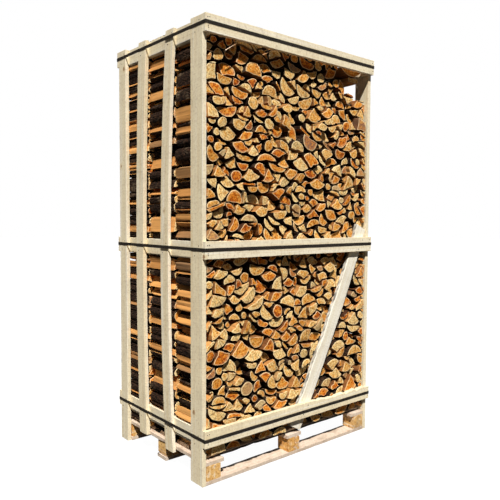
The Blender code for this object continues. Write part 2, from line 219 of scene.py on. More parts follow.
@dataclass(frozen=True)
class SawnFinish:
    """Rough-sawn softwood, read from the piece's own grain and look attributes.

    Attributes:
        name: The material's name.
        pale: Colour of the wood between its rings.
        warm: Colour that some boards lean towards.
        ring: Colour of its darker rings.
        knot: Colour of its knots.
        ring_pitch: Distance from ring to ring, in metres.
        saw_depth: Depth of the saw's marks, in metres.
        knots: Share of the cells that hold a knot.
        mottled: How strongly the wood is blotched.
        sap: Colour of its palest streaks and of bare sapwood, and of the painted highlight where a wane is
            tinted pale.
        bark: Colour of the bark on a waney edge, and of the painted shade where a wane is tinted dark.
        grime: Colour of its dirt.
    """

    name: str
    pale: Colour
    warm: Colour
    ring: Colour
    knot: Colour
    ring_pitch: float = 0.0042
    saw_depth: float = 0.0006
    knots: float = 0.25
    mottled: float = 0.0
    sap: Colour = srgb(255, 250, 236)
    bark: Colour = srgb(34, 26, 22)
    grime: Colour = srgb(150, 124, 98)

    def build(self) -> Material:
        """Write the material."""
        shade = Shade(self.name)
        grain = shade.attribute("grain")
        tone, dirt, tint = shade.split(shade.attribute("look"))
        along, across, deep = shade.split(grain)
        wander = shade.noise(shade.join(shade.times(along, 1.4), 0.0, tone), 1.0, 1.0)
        side = shade.plus(across, shade.times(wander, 0.08))
        below = shade.plus(deep, 0.035)
        reach = shade.math("SQRT", shade.plus(shade.times(side, side),
                                              shade.times(below, below)))
        wave = shade.math("SINE", shade.times(reach, 2 * pi / self.ring_pitch))
        rings = shade.span(wave, -0.2, 1.0)
        fibre = shade.noise(shade.scaled(grain, (5.0, 420.0, 420.0)), 1.0, 3.0, 0.6)
        streak = shade.noise(shade.scaled(grain, (1.6, 34.0, 34.0)), 1.0, 3.0)
        band = shade.noise(shade.scaled(grain, (0.9, 60.0, 60.0)), 1.0, 2.0)
        colour = shade.mix(tone, self.pale, self.warm)
        colour = shade.mix(shade.span(band, 0.52, 0.66, 0.0, 0.65), colour, self.warm)
        colour = shade.mix(shade.span(band, 0.48, 0.36, 0.0, 0.55), colour, self.sap)
        colour = shade.mix(shade.times(rings, 0.30), colour, self.ring)
        colour = shade.mix(shade.span(streak, 0.48, 0.80, 0.0, 0.40), colour, self.ring)
        colour = shade.mix(shade.span(fibre, 0.52, 0.80, 0.0, 0.34), colour, self.knot)
        tilt = shade.plus(along, shade.times(across, 0.12))
        saw = shade.noise(shade.join(shade.times(tilt, 260.0), shade.times(across, 7.0),
                                     shade.times(deep, 7.0)), 1.0, 3.0, 0.7)
        colour = shade.mix(shade.span(saw, 0.46, 0.72, 0.0, 0.17), colour, self.knot)
        cell = shade.cells(shade.scaled(grain, (10.0, 14.0, 9.0)), 1.0)
        kept = shade.span(shade.split(cell.outputs["Color"])[0], 1.0 - self.knots, 1.01 - self.knots)
        nearness = cell.outputs["Distance"]
        core = shade.times(shade.span(nearness, 0.13, 0.09), kept)
        halo = shade.times(shade.span(nearness, 0.26, 0.11, 0.0, 0.55), kept)
        colour = shade.mix(halo, colour, self.ring)
        colour = shade.mix(shade.times(core, 0.85), colour, self.knot)
        blotch = shade.noise(shade.place(), 85.0, 4.0, 0.7)
        colour = shade.mix(shade.span(blotch, 0.48, 0.68, 0.0, self.mottled), colour, self.knot)
        colour = shade.mix(shade.span(blotch, 0.50, 0.34, 0.0, self.mottled * 0.8), colour, self.pale)
        grime = shade.noise(shade.place(), 11.0, 4.0, 0.6)
        colour = shade.mix(shade.times(shade.span(grime, 0.46, 0.72), dirt), colour, self.grime)
        # A positive tint paints sapwood pale and a negative one paints bark dark. The same tints also carry
        # the painted highlight on the brace's right edge, the painted shade on its left side and the painted
        # shadow along the pallet runners' tops.
        colour = shade.mix(shade.span(tint, 0.25, 0.75), colour, self.sap)
        colour = shade.mix(shade.span(tint, -0.25, -0.75), colour, self.bark)
        height = shade.plus(shade.times(saw, 0.75), shade.times(fibre, 0.35))
        normal = shade.bump(height, self.saw_depth)
        return shade.finish(colour, 0.82, normal)


@dataclass(frozen=True)
class LogEndFinish:
    """Chainsawn end grain, whose rings and cracks lie about each log's own pith."""

    name: str = "log_end_grain"
    tones: tuple[tuple[float, Colour], ...] = (
        (0.00, srgb(252, 224, 158)),
        (0.22, srgb(250, 208, 132)),
        (0.44, srgb(242, 180, 88)),
        (0.64, srgb(236, 152, 50)),
        (0.82, srgb(222, 122, 24)),
        (0.92, srgb(196, 92, 12)),
        (1.00, srgb(146, 60, 12)),
    )
    sap: Colour = srgb(255, 232, 182)
    heart: Colour = srgb(168, 88, 22)
    fleck: Colour = srgb(122, 58, 18)
    grey: Colour = srgb(160, 140, 112)
    crack: Colour = srgb(66, 34, 12)
    ring_pitch: float = 0.0036
    arc_pitch: float = 0.0125

    def build(self) -> Material:
        """Write the material."""
        shade = Shade(self.name)
        side, up, radius = shade.split(shade.attribute("pith"))
        tone, grey, edge = shade.split(shade.attribute("look"))
        place = shade.place()
        reach = shade.math("SQRT", shade.plus(shade.times(side, side), shade.times(up, up)))
        share = shade.math("DIVIDE", reach, radius)
        warp = shade.noise(place, 38.0, 2.0)
        bent = shade.math("MULTIPLY_ADD", warp, 0.012)
        bent.node.inputs[2].default_value = 0.0
        run = shade.plus(reach, bent)
        rings = shade.span(shade.math("SINE", shade.times(run, 2 * pi / self.ring_pitch)), -0.3, 1.0)
        mottle = shade.noise(place, 62.0, 3.0, 0.65)
        speck = shade.noise(place, 115.0, 3.0, 0.75)
        shift = shade.plus(shade.span(mottle, 0.30, 0.70, -0.24, 0.24),
                           shade.span(speck, 0.32, 0.68, -0.16, 0.16))
        colour = shade.ramp(shade.plus(shade.span(tone, 0.0, 1.0, 0.10, 0.86), shift, clamp=True), self.tones)
        colour = shade.mix(shade.span(share, 0.72, 0.98, 0.0, 0.30), colour, self.sap)
        colour = shade.mix(shade.span(share, 0.30, 0.05, 0.0, 0.35), colour, self.heart)
        colour = shade.mix(shade.times(rings, 0.14), colour, self.heart)
        arcs = shade.span(shade.math("SINE", shade.times(run, 2 * pi / self.arc_pitch)), 0.1, 1.0, 0.0, 0.32)
        colour = shade.mix(arcs, colour, self.heart)
        colour = shade.mix(shade.span(speck, 0.52, 0.64, 0.0, 0.62), colour, self.fleck)
        colour = shade.mix(shade.times(grey, shade.span(mottle, 0.35, 0.6, 0.5, 1.0)), colour, self.grey)
        turn = shade.math("ARCTAN2", side, up)
        spokes = shade.noise(shade.join(shade.times(turn, 3.2), tone, radius), 1.0, 2.0, 0.8)
        gap = shade.math("ABSOLUTE", shade.math("SUBTRACT", spokes, 0.5))
        crack = shade.times(shade.span(gap, 0.010, 0.002), shade.span(share, 0.08, 0.35))
        colour = shade.mix(shade.times(crack, 0.75), colour, self.crack)
        # A pale rim around the edge of every log end: a painted highlight along its broken rim.
        colour = shade.mix(shade.span(edge, 0.86, 0.96, 0.0, 0.55), colour, self.sap)
        height = shade.math("SUBTRACT", shade.times(speck, 0.6), crack)
        normal = shade.bump(height, 0.0011)
        return shade.finish(colour, 0.85, normal, 0.2)


@dataclass(frozen=True)
class SplitFaceFinish:
    """The torn, stringy face along a split log."""

    name: str = "log_split_face"
    tones: tuple[tuple[float, Colour], ...] = (
        (0.00, srgb(226, 176, 112)),
        (0.25, srgb(196, 138, 76)),
        (0.60, srgb(154, 98, 50)),
        (0.85, srgb(112, 66, 34)),
        (1.00, srgb(74, 44, 26)),
    )
    dark: Colour = srgb(48, 27, 15)
    grey: Colour = srgb(104, 88, 72)
    lit: Colour = srgb(240, 172, 96)

    def build(self) -> Material:
        """Write the material."""
        shade = Shade(self.name)
        tone, grey, _ = shade.split(shade.attribute("look"))
        place = shade.place()
        torn = shade.noise(shade.scaled(place, (150.0, 5.0, 150.0)), 1.0, 4.0, 0.65)
        strip = shade.noise(shade.scaled(place, (38.0, 2.5, 38.0)), 1.0, 3.0)
        # Near the side walls the split faces turn paler and are less streaked with dark: painted light, so
        # the logs seen between the slats look sunlit while split faces deeper in the stack stay dark.
        wall = shade.math("ABSOLUTE", shade.split(place)[0])
        colour = shade.mix(shade.span(wall, 0.500, 0.530, 0.0, 0.6), shade.ramp(tone, self.tones), self.lit)
        wall_lightening = shade.span(wall, 0.500, 0.530, 1.0, 0.55)
        colour = shade.mix(shade.times(shade.span(strip, 0.42, 0.75, 0.0, 0.65), wall_lightening), colour, self.dark)
        colour = shade.mix(shade.times(shade.span(torn, 0.45, 0.75, 0.0, 0.65), wall_lightening), colour, self.dark)
        colour = shade.mix(shade.times(grey, 0.8), colour, self.grey)
        height = shade.plus(shade.times(torn, 0.7), shade.times(strip, 0.5))
        return shade.finish(colour, 0.88, shade.bump(height, 0.0032), 0.2)


@dataclass(frozen=True)
class BarkFinish:
    """Thin dark bark, cracked along the log."""

    name: str = "log_bark"
    dark: Colour = srgb(24, 16, 12)
    brown: Colour = srgb(72, 48, 32)
    lichen: Colour = srgb(116, 98, 76)

    def build(self) -> Material:
        """Write the material."""
        shade = Shade(self.name)
        place = shade.place()
        cell = shade.cells(shade.scaled(place, (70.0, 26.0, 70.0)), 1.0, "DISTANCE_TO_EDGE")
        plates = cell.outputs["Distance"]
        rough = shade.noise(place, 90.0, 4.0, 0.7)
        colour = shade.mix(shade.span(rough, 0.35, 0.70), self.dark, self.brown)
        patches = shade.noise(place, 14.0, 3.0)
        colour = shade.mix(shade.span(patches, 0.56, 0.74, 0.0, 0.7), colour, self.lichen)
        colour = shade.mix(shade.span(plates, 0.10, 0.0, 0.0, 0.8), colour, self.dark)
        height = shade.plus(shade.span(plates, 0.0, 0.22), shade.times(rough, 0.6))
        return shade.finish(colour, 0.9, shade.bump(height, 0.0030), 0.15)


@dataclass(frozen=True)
class NailFinish:
    """A dull, rust-stained nail head."""

    name: str = "nail_head"
    steel: Colour = srgb(86, 76, 66)
    rust: Colour = srgb(58, 38, 26)

    def build(self) -> Material:
        """Write the material."""
        shade = Shade(self.name)
        stain = shade.noise(shade.place(), 300.0, 3.0)
        return shade.finish(shade.mix(shade.span(stain, 0.4, 0.65), self.steel, self.rust), 0.55)


@dataclass(frozen=True)
class SplinterFinish:
    """Pale torn wood of slivers and frayed fibres."""

    name: str = "splinter_wood"
    pale: Colour = srgb(250, 222, 190)
    tan: Colour = srgb(206, 150, 96)

    def build(self) -> Material:
        """Write the material."""
        shade = Shade(self.name)
        kinds = shade.noise(shade.place(), 16.0, 1.0)
        return shade.finish(shade.mix(shade.span(kinds, 0.40, 0.62), self.pale, self.tan), 0.8)


@dataclass(frozen=True)
class StrapFinish:
    """Black packing strap with its pressed diagonal weave."""

    name: str = "strap_woven"
    rib: Colour = srgb(66, 60, 53)
    groove: Colour = srgb(22, 18, 15)
    weave_pitch: float = 0.0032

    def build(self) -> Material:
        """Write the material."""
        shade = Shade(self.name)
        x, y, z = shade.split(shade.place())
        run = shade.plus(x, y)
        turns = 2 * pi / self.weave_pitch
        rise = shade.math("SINE", shade.times(shade.plus(run, z), turns / 1.6))
        fall = shade.math("SINE", shade.times(shade.math("SUBTRACT", run, z), turns))
        weave = shade.span(shade.plus(rise, shade.times(fall, 0.4)), -1.0, 1.2)
        dust = shade.noise(shade.place(), 60.0, 3.0)
        colour = shade.mix(weave, self.groove, self.rib)
        colour = shade.mix(shade.span(dust, 0.55, 0.8, 0.0, 0.25), colour, srgb(120, 112, 100))
        return shade.finish(colour, 0.6, shade.bump(weave, 0.0004), 0.2)


SAWN_CREAM = SawnFinish("sawn_cream", srgb(248, 240, 214), srgb(246, 230, 192), srgb(226, 200, 150),
                        srgb(150, 104, 62), mottled=0.24)
SAWN_WHITE = SawnFinish("sawn_white", srgb(250, 245, 230), srgb(246, 238, 214), srgb(232, 214, 176),
                        srgb(150, 116, 80), knots=0.1, mottled=0.16)
PALLET_PINK = SawnFinish("pallet_pink", srgb(230, 214, 196), srgb(222, 198, 174), srgb(200, 170, 140),
                         srgb(138, 96, 66), knots=0.3, mottled=0.30, sap=srgb(236, 222, 204))
BLOCK_TAN = SawnFinish("block_tan", srgb(246, 206, 136), srgb(230, 172, 92), srgb(206, 140, 66),
                       srgb(150, 84, 30), ring_pitch=0.0055, saw_depth=0.0010, knots=0.1, mottled=0.75)


@dataclass
class Draft:
    """Points, faces and marks of one piece, gathered before they become a mesh.

    Attributes:
        points: Blocks of points.
        faces: Faces by point number.
        slots: Material number of each face.
        marks: Blocks of values for each attribute.
        count: Points so far.
    """

    points: list[Array] = field(default_factory=list)
    faces: list[Face] = field(default_factory=list)
    slots: list[int] = field(default_factory=list)
    marks: dict[str, list[Array]] = field(default_factory=dict)
    count: int = 0

    def add(self, points: Array, faces: Sequence[Face], slots: Sequence[int], **marks: Array) -> None:
        """Add one closed body, turned so that its faces point outwards.

        Args:
            points: Its points.
            faces: Its faces, all wound the same way.
            slots: Material number of each face.
            marks: Values at each point, for each attribute.
        """
        thirds = np.array([(face[0], a, b) for face in faces for a, b in zip(face[1:], face[2:])])
        corners = points[thirds] - points.mean(axis=0)
        volume = float(np.einsum("ij,ij->", corners[:, 0], np.cross(corners[:, 1], corners[:, 2])))
        for face in faces:
            ordered = face if volume > 0 else face[::-1]
            self.faces.append(tuple(index + self.count for index in ordered))
        self.slots.extend(slots)
        self.points.append(points)
        for name, values in marks.items():
            self.marks.setdefault(name, []).append(values)
        self.count += len(points)

    def finish(self, name: str, materials: Sequence[Material], sharp: float = SMOOTH_ANGLE) -> Piece:
        """Make the object.

        Args:
            name: Its name.
            materials: Its materials, in the order of the face slots.
            sharp: The angle from which an edge looks sharp, in radians.

        Returns:
            The object, linked to the scene.
        """
        mesh = bpy.data.meshes.new(name)
        mesh.from_pydata(np.concatenate(self.points).tolist(), [], self.faces)
        for material in materials:
            mesh.materials.append(material)
        mesh.polygons.foreach_set("material_index", self.slots)
        for key, blocks in self.marks.items():
            layer = mesh.attributes.new(key, "FLOAT_VECTOR", "POINT")
            layer.data.foreach_set("vector", np.concatenate(blocks).astype(np.float32).ravel())
        mesh.shade_smooth()
        mesh.set_sharp_from_angle(angle=sharp)
        mesh.update()
        obj = bpy.data.objects.new(name, mesh)
        bpy.context.scene.collection.objects.link(obj)
        return obj


def settle(piece: Piece, slot: str, *nodes: str) -> None:
    """Put a finished piece in the place of its nodes and report it.

    Args:
        piece: The finished piece.
        slot: Not used.
        nodes: CAD nodes that it stands for.
    """
    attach(piece, "root")
    if nodes:
        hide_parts(*nodes)
    piece.data.calc_loop_triangles()
    log.info("%s: %d triangles", piece.name, len(piece.data.loop_triangles))


@dataclass(frozen=True)
class Spot:
    """Where one small repeat sits.

    Attributes:
        place: Its place.
        along: The way that its length points.
        size: Its width, its thickness and its length, in metres.
    """

    place: Point
    along: Point
    size: Point


@dataclass
class Grower:
    """Grows small repeats, such as nails or splinters, on a piece with Geometry Nodes.

    Attributes:
        name: Name of the node tree.
        material: Material of the repeats.
        sides: Number of sides of each.
        tip: Radius of its far end, as a share of its near one.
        roll: Whether each is rolled about its length by chance.
        seed: Seed of that chance.
    """

    name: str
    material: Material
    sides: int = 8
    tip: float = 0.8
    roll: bool = True
    seed: int = 3

    def __post_init__(self) -> None:
        """Write the node tree."""
        self.tree = bpy.data.node_groups.new(self.name, "GeometryNodeTree")
        interface = self.tree.interface
        interface.new_socket("Geometry", in_out="INPUT", socket_type="NodeSocketGeometry")
        kinds = (("Spots", "NodeSocketObject"), ("Tip", "NodeSocketFloat"), ("Seed", "NodeSocketInt"),
                 ("Finish", "NodeSocketMaterial"))
        self.sockets = {name: interface.new_socket(name, in_out="INPUT", socket_type=kind).identifier
                        for name, kind in kinds}
        interface.new_socket("Geometry", in_out="OUTPUT", socket_type="NodeSocketGeometry")
        given, result = self.node("NodeGroupInput"), self.node("NodeGroupOutput")
        spots = self.node("GeometryNodeObjectInfo", {"Object": given.outputs["Spots"]})
        named = [self.node("GeometryNodeInputNamedAttribute", {"Name": name}, data_type="FLOAT_VECTOR")
                 for name in ("along", "size")]
        along, size = (node.outputs[0] for node in named)
        facing = self.node("FunctionNodeAlignRotationToVector", {"Vector": along}, axis="Z").outputs[0]
        shape = {"Vertices": self.sides, "Radius Top": given.outputs["Tip"], "Radius Bottom": 1.0,
                 "Depth": 1.0}
        peg = self.node("GeometryNodeMeshCone", shape, fill_type="NGON").outputs[0]
        laid = {"Points": spots.outputs["Geometry"], "Instance": peg, "Rotation": facing, "Scale": size}
        grown = self.node("GeometryNodeInstanceOnPoints", laid).outputs[0]
        most = (0.0, 0.0, 2 * pi if self.roll else 0.0)
        chance = {"Min": (0.0, 0.0, 0.0), "Max": most, "Seed": given.outputs["Seed"]}
        turn = self.node("FunctionNodeRandomValue", chance, data_type="FLOAT_VECTOR").outputs[0]
        spun = self.node("GeometryNodeRotateInstances", {"Instances": grown, "Rotation": turn}).outputs[0]
        real = self.node("GeometryNodeRealizeInstances", {"Geometry": spun}).outputs[0]
        finish = {"Geometry": real, "Material": given.outputs["Finish"]}
        dressed = self.node("GeometryNodeSetMaterial", finish).outputs[0]
        joined = self.node("GeometryNodeJoinGeometry")
        self.tree.links.new(given.outputs["Geometry"], joined.inputs[0])
        self.tree.links.new(dressed, joined.inputs[0])
        self.tree.links.new(joined.outputs[0], result.inputs[0])

    def node(self, kind: str, inputs: dict[str, Any] | None = None, **settings: Any) -> Node:
        """Add one node.

        Args:
            kind: The node's type.
            inputs: Values or sockets by the name of a visible input.
            settings: Properties of the node.

        Returns:
            The new node.
        """
        node = self.tree.nodes.new(kind)
        for key, value in settings.items():
            setattr(node, key, value)
        for key, value in (inputs or {}).items():
            socket = next(s for s in node.inputs if s.name == key and s.enabled)
            if isinstance(value, Socket):
                self.tree.links.new(value, socket)
            else:
                socket.default_value = value
        return node

    def grow(self, piece: Piece, spots: Sequence[Spot]) -> Piece:
        """Grow the repeats on a piece and make it one plain mesh again.

        Args:
            piece: The piece, not yet riding.
            spots: Where they sit.

        Returns:
            The same piece.
        """
        if not spots:
            return piece
        mesh = bpy.data.meshes.new(f"{self.name}_spots")
        mesh.from_pydata([spot.place for spot in spots], [], [])
        for key in ("along", "size"):
            layer = mesh.attributes.new(key, "FLOAT_VECTOR", "POINT")
            values = np.array([getattr(spot, key) for spot in spots], np.float32)
            layer.data.foreach_set("vector", values.ravel())
        helper = bpy.data.objects.new(mesh.name, mesh)
        bpy.context.scene.collection.objects.link(helper)
        modifier = piece.modifiers.new(self.name, "NODES")
        modifier.node_group = self.tree
        given = {"Spots": helper, "Tip": self.tip, "Seed": self.seed, "Finish": self.material}
        for key, value in given.items():
            modifier[self.sockets[key]] = value
        graph = bpy.context.evaluated_depsgraph_get()
        plain = bpy.data.meshes.new_from_object(piece.evaluated_get(graph))
        piece.modifiers.remove(modifier)
        plain.name = piece.data.name
        piece.data = plain
        bpy.data.objects.remove(helper, do_unlink=True)
        return piece


@dataclass(frozen=True)
class BoardPlace:
    """Where a board lies, by its own axes.

    Attributes:
        start: Middle of its first end.
        along: Unit vector of its length, the way its grain runs.
        across: Unit vector of its width.
        out: Unit vector of its thickness, towards its outer face.
        size: Length, width and thickness.
        bow: How far its middle stands off across, at its start, middle and end.
    """

    start: Array
    along: Array
    across: Array
    out: Array
    size: Point
    bow: Point = (0.0, 0.0, 0.0)

    @classmethod
    def of_node(cls, node: str, run: int, thin: int) -> "BoardPlace":
        """Take a square-edged board's place from its CAD node.

        Args:
            node: The node.
            run: Axis along its grain.
            thin: Axis through its thickness.

        Returns:
            The board's place.
        """
        low, high = (np.array(corner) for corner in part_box(node))
        axes = np.eye(3)
        wide = 3 - run - thin
        start = (low + high) / 2
        start[run] = low[run]
        size = high - low
        return cls(start, axes[run], axes[wide], axes[thin], (size[run], size[wide], size[thin]))

    def bow_at(self, t: Array) -> Array:
        """The parabola through the three bow offsets, with t from 0 to 1."""
        first, middle, last = self.bow
        return first * (1 - t) * (1 - 2 * t) + 4 * middle * t * (1 - t) + last * t * (2 * t - 1)


@dataclass(frozen=True)
class Wane:
    """A stretch of a board's corner that follows the round of the tree.

    Attributes:
        corner: Which corner, 0 to 3 anticlockwise from low across and low out.
        start: Where it starts, as a share of the length.
        end: Where it ends.
        across: How far it bites into the width, in metres.
        deep: How far it bites into the thickness, in metres.
        tint: 1 tints it pale, as sapwood, and -1 tints it dark, as bark; it also paints the highlight on the
            brace's right edge and the shadow along the pallet runners' tops.
    """

    corner: int
    start: float
    end: float
    across: float
    deep: float
    tint: float = 0.0


@dataclass(frozen=True)
class Bite:
    """A stretch where a board's whole edge dips in.

    Attributes:
        side: -1 for the edge at low across, 1 for the other.
        start: Where it starts, as a share of the length.
        end: Where it ends.
        deep: How far it dips, in metres.
    """

    side: int
    start: float
    end: float
    deep: float


@dataclass(frozen=True)
class BoardWear:
    """How a board's edges are worn.

    Attributes:
        ease: How far its edges are rounded, in metres.
        chips: How many chips its corners have.
        chip: How deep a chip is, in metres.
        wanes: Its stretches of wane.
        bites: The dips in its edges.
    """

    ease: float = 0.0012
    chips: int = 5
    chip: float = 0.0035
    wanes: tuple[Wane, ...] = ()
    bites: tuple[Bite, ...] = ()


class RoughBoard:
    """A rough-sawn board as rings along its length, with eased, chipped and waney corners."""

    RING_STEP = 0.018
    END_EASE = 0.0010
    CORNERS = ((-1, -1), (1, -1), (1, 1), (-1, 1))
    # Each ring's points: corner, then the shares of the ease that it keeps across and deep.
    TEMPLATE = (
        (0, 0.0, 1.0), (0, 0.3, 0.3), (0, 1.0, 0.0), (0, None, 1 / 3), (0, None, 2 / 3),
        (1, 1.0, 0.0), (1, 0.3, 0.3), (1, 0.0, 1.0),
        (2, 0.0, 1.0), (2, 0.3, 0.3), (2, 1.0, 0.0), (2, None, 1 / 3), (2, None, 2 / 3),
        (3, 1.0, 0.0), (3, 0.3, 0.3), (3, 0.0, 1.0),
    )

    def __init__(self, place: BoardPlace, wear: BoardWear, seed: int) -> None:
        """Keep what the board is made from.

        Args:
            place: Where it lies.
            wear: How its edges are worn.
            seed: Seed of its small unevenness.
        """
        self.place = place
        self.wear = wear
        self.rng = np.random.default_rng(seed)

    def eases(self, t: Array) -> Array:
        """How far each corner is eased along the board.

        Args:
            t: Share of the length at each ring.

        Returns:
            Ring by corner by (across, deep), in metres.
        """
        ease = self.wear.ease * self.rng.uniform(0.55, 1.5, (len(t), 4, 2))
        length = self.place.size[0]
        for _ in range(self.wear.chips):
            corner = self.rng.integers(4)
            middle = self.rng.uniform(0.0, 1.0)
            reach = self.rng.uniform(0.012, 0.040) / length
            window = np.clip(1 - np.abs(t - middle) / reach, 0, 1)
            depth = self.wear.chip * self.rng.uniform(0.3, 1.0, 2)
            ease[:, corner, :] += window[:, None] * depth
        for wane in self.wear.wanes:
            inside = (t >= wane.start) & (t <= wane.end)
            lift = np.sin(pi * np.clip((t - wane.start) / (wane.end - wane.start), 0, 1)) ** 0.6
            wobble = 0.75 + 0.25 * np.sin(t * length * 31.0 + wane.corner) * np.sin(t * length * 13.0)
            bite = np.where(inside, lift * wobble, 0.0)
            ease[:, wane.corner, 0] += bite * wane.across
            ease[:, wane.corner, 1] += bite * wane.deep
        ease[:, :, 0] = np.minimum(ease[:, :, 0], self.place.size[1] * 0.45)
        ease[:, :, 1] = np.minimum(ease[:, :, 1], self.place.size[2] * 0.85)
        pairs = ((0, 3), (1, 2))
        for a, b in pairs:
            both = ease[:, a, 1] + ease[:, b, 1]
            squeeze = np.minimum(1.0, self.place.size[2] * 0.9 / both)
            ease[:, a, 1] *= squeeze
            ease[:, b, 1] *= squeeze
        return ease

    def tinted(self, t: float) -> Array:
        """The tint of each point of a ring, at a share of the length."""
        tints = np.zeros(len(self.TEMPLATE))
        for wane in self.wear.wanes:
            if wane.start < t < wane.end:
                for k, (corner, keep_across, _) in enumerate(self.TEMPLATE):
                    if corner == wane.corner and keep_across is not None and keep_across < 1.0:
                        tints[k] = wane.tint * self.rng.uniform(0.7, 1.3)
        return tints

    def bitten(self, t: Array) -> Array:
        """How far the low and the high edge dip in along the board, ring by edge."""
        dips = np.zeros((len(t), 2))
        for bite in self.wear.bites:
            share = np.clip((t - bite.start) / (bite.end - bite.start), 0, 1)
            dips[:, int(bite.side > 0)] += bite.deep * np.sin(pi * share) ** 0.7
        return dips

    def ring(self, ease: Array, pulled: float, dips: Array) -> Array:
        """One ring of points, across and deep.

        Args:
            ease: How far each corner is eased here.
            pulled: How far the whole ring is pulled in, for a board's end.
            dips: How far the low and the high edge dip in here.

        Returns:
            The ring's points.
        """
        half_deep = self.place.size[2] / 2 - pulled
        points = []
        for corner, keep_across, keep_deep in self.TEMPLATE:
            side, face = self.CORNERS[corner]
            half_wide = self.place.size[1] / 2 - pulled - dips[int(side > 0)]
            if keep_across is None:
                start = side * (half_wide - ease[corner][0])
                end = -side * (self.place.size[1] / 2 - pulled - dips[int(side < 0)] - ease[corner + 1][0])
                dip = abs(self.rng.normal(0.0, 0.00018))
                points.append((start + (end - start) * keep_deep, face * (half_deep - dip)))
            else:
                points.append((side * (half_wide - keep_across * ease[corner][0]),
                               face * (half_deep - keep_deep * ease[corner][1])))
        return np.array(points)

    def add_to(self, draft: Draft, slot: int = 0, dirt: float = 0.15) -> None:
        """Add the board to a draft.

        Args:
            draft: Where it goes.
            slot: Its material number.
            dirt: How dirty it is, from 0 to 1.
        """
        place, rng = self.place, self.rng
        length = place.size[0]
        count = max(3, round(length / self.RING_STEP))
        inner = np.linspace(self.END_EASE / length, 1 - self.END_EASE / length, count + 1)
        inner[1:-1] += rng.uniform(-0.25, 0.25, count - 1) / count
        t = np.concatenate(([0.0], inner, [1.0]))
        ease, dips = self.eases(t), self.bitten(t)
        skew = rng.normal(0.0, 0.006, 2)
        points, grain, tints = [], [], []
        shift = place.bow_at(t)
        origin = np.array([rng.uniform(0, 40), rng.uniform(-0.03, 0.03), rng.uniform(-0.01, 0.01)])
        for k, share in enumerate(t):
            pulled = self.END_EASE * 0.7 if k in (0, len(t) - 1) else 0.0
            ring = self.ring(ease[k], pulled, dips[k])
            s = np.full(len(ring), share * length)
            near_start, near_end = max(0.0, 1 - share * 12), max(0.0, 1 - (1 - share) * 12)
            s += near_start * np.abs(skew[0] * (ring[:, 0] + place.size[1] / 2))
            s -= near_end * np.abs(skew[1] * (ring[:, 0] - place.size[1] / 2))
            points.append(place.start + s[:, None] * place.along
                          + (ring[:, :1] + shift[k]) * place.across + ring[:, 1:] * place.out)
            grain.append(np.column_stack((s, ring)) + origin)
            tints.append(self.tinted(float(share)))
        size = len(self.TEMPLATE)
        faces: list[Face] = [tuple(range(size))[::-1]]
        for k in range(len(t) - 1):
            for a in range(size):
                b = (a + 1) % size
                faces.append((k * size + a, k * size + b, (k + 1) * size + b, (k + 1) * size + a))
        last = (len(t) - 1) * size
        faces.append(tuple(range(last, last + size)))
        points_array = np.concatenate(points)
        look = np.tile((rng.uniform(0, 1), dirt, 0.0), (len(points_array), 1))
        look[:, 2] = np.concatenate(tints)
        draft.add(points_array, faces, [slot] * len(faces), grain=np.concatenate(grain), look=look)


@dataclass(frozen=True)
class SlatSize:
    """One upright slat of a short side, as in the CAD.

    Attributes:
        node: Its CAD node.
        side: -1 on the left, 1 on the right.
        width: Its width.
        foot: Height of its foot.
        depths: How far back its middle is from the front, at its foot, half height and top.
        thinned: How much thinner it is than the others, on its outer face.
        wanes: Its stretches of wane.
    """

    node: str
    side: int
    width: float
    foot: float
    depths: Point
    thinned: float = 0.0
    wanes: tuple[Wane, ...] = ()


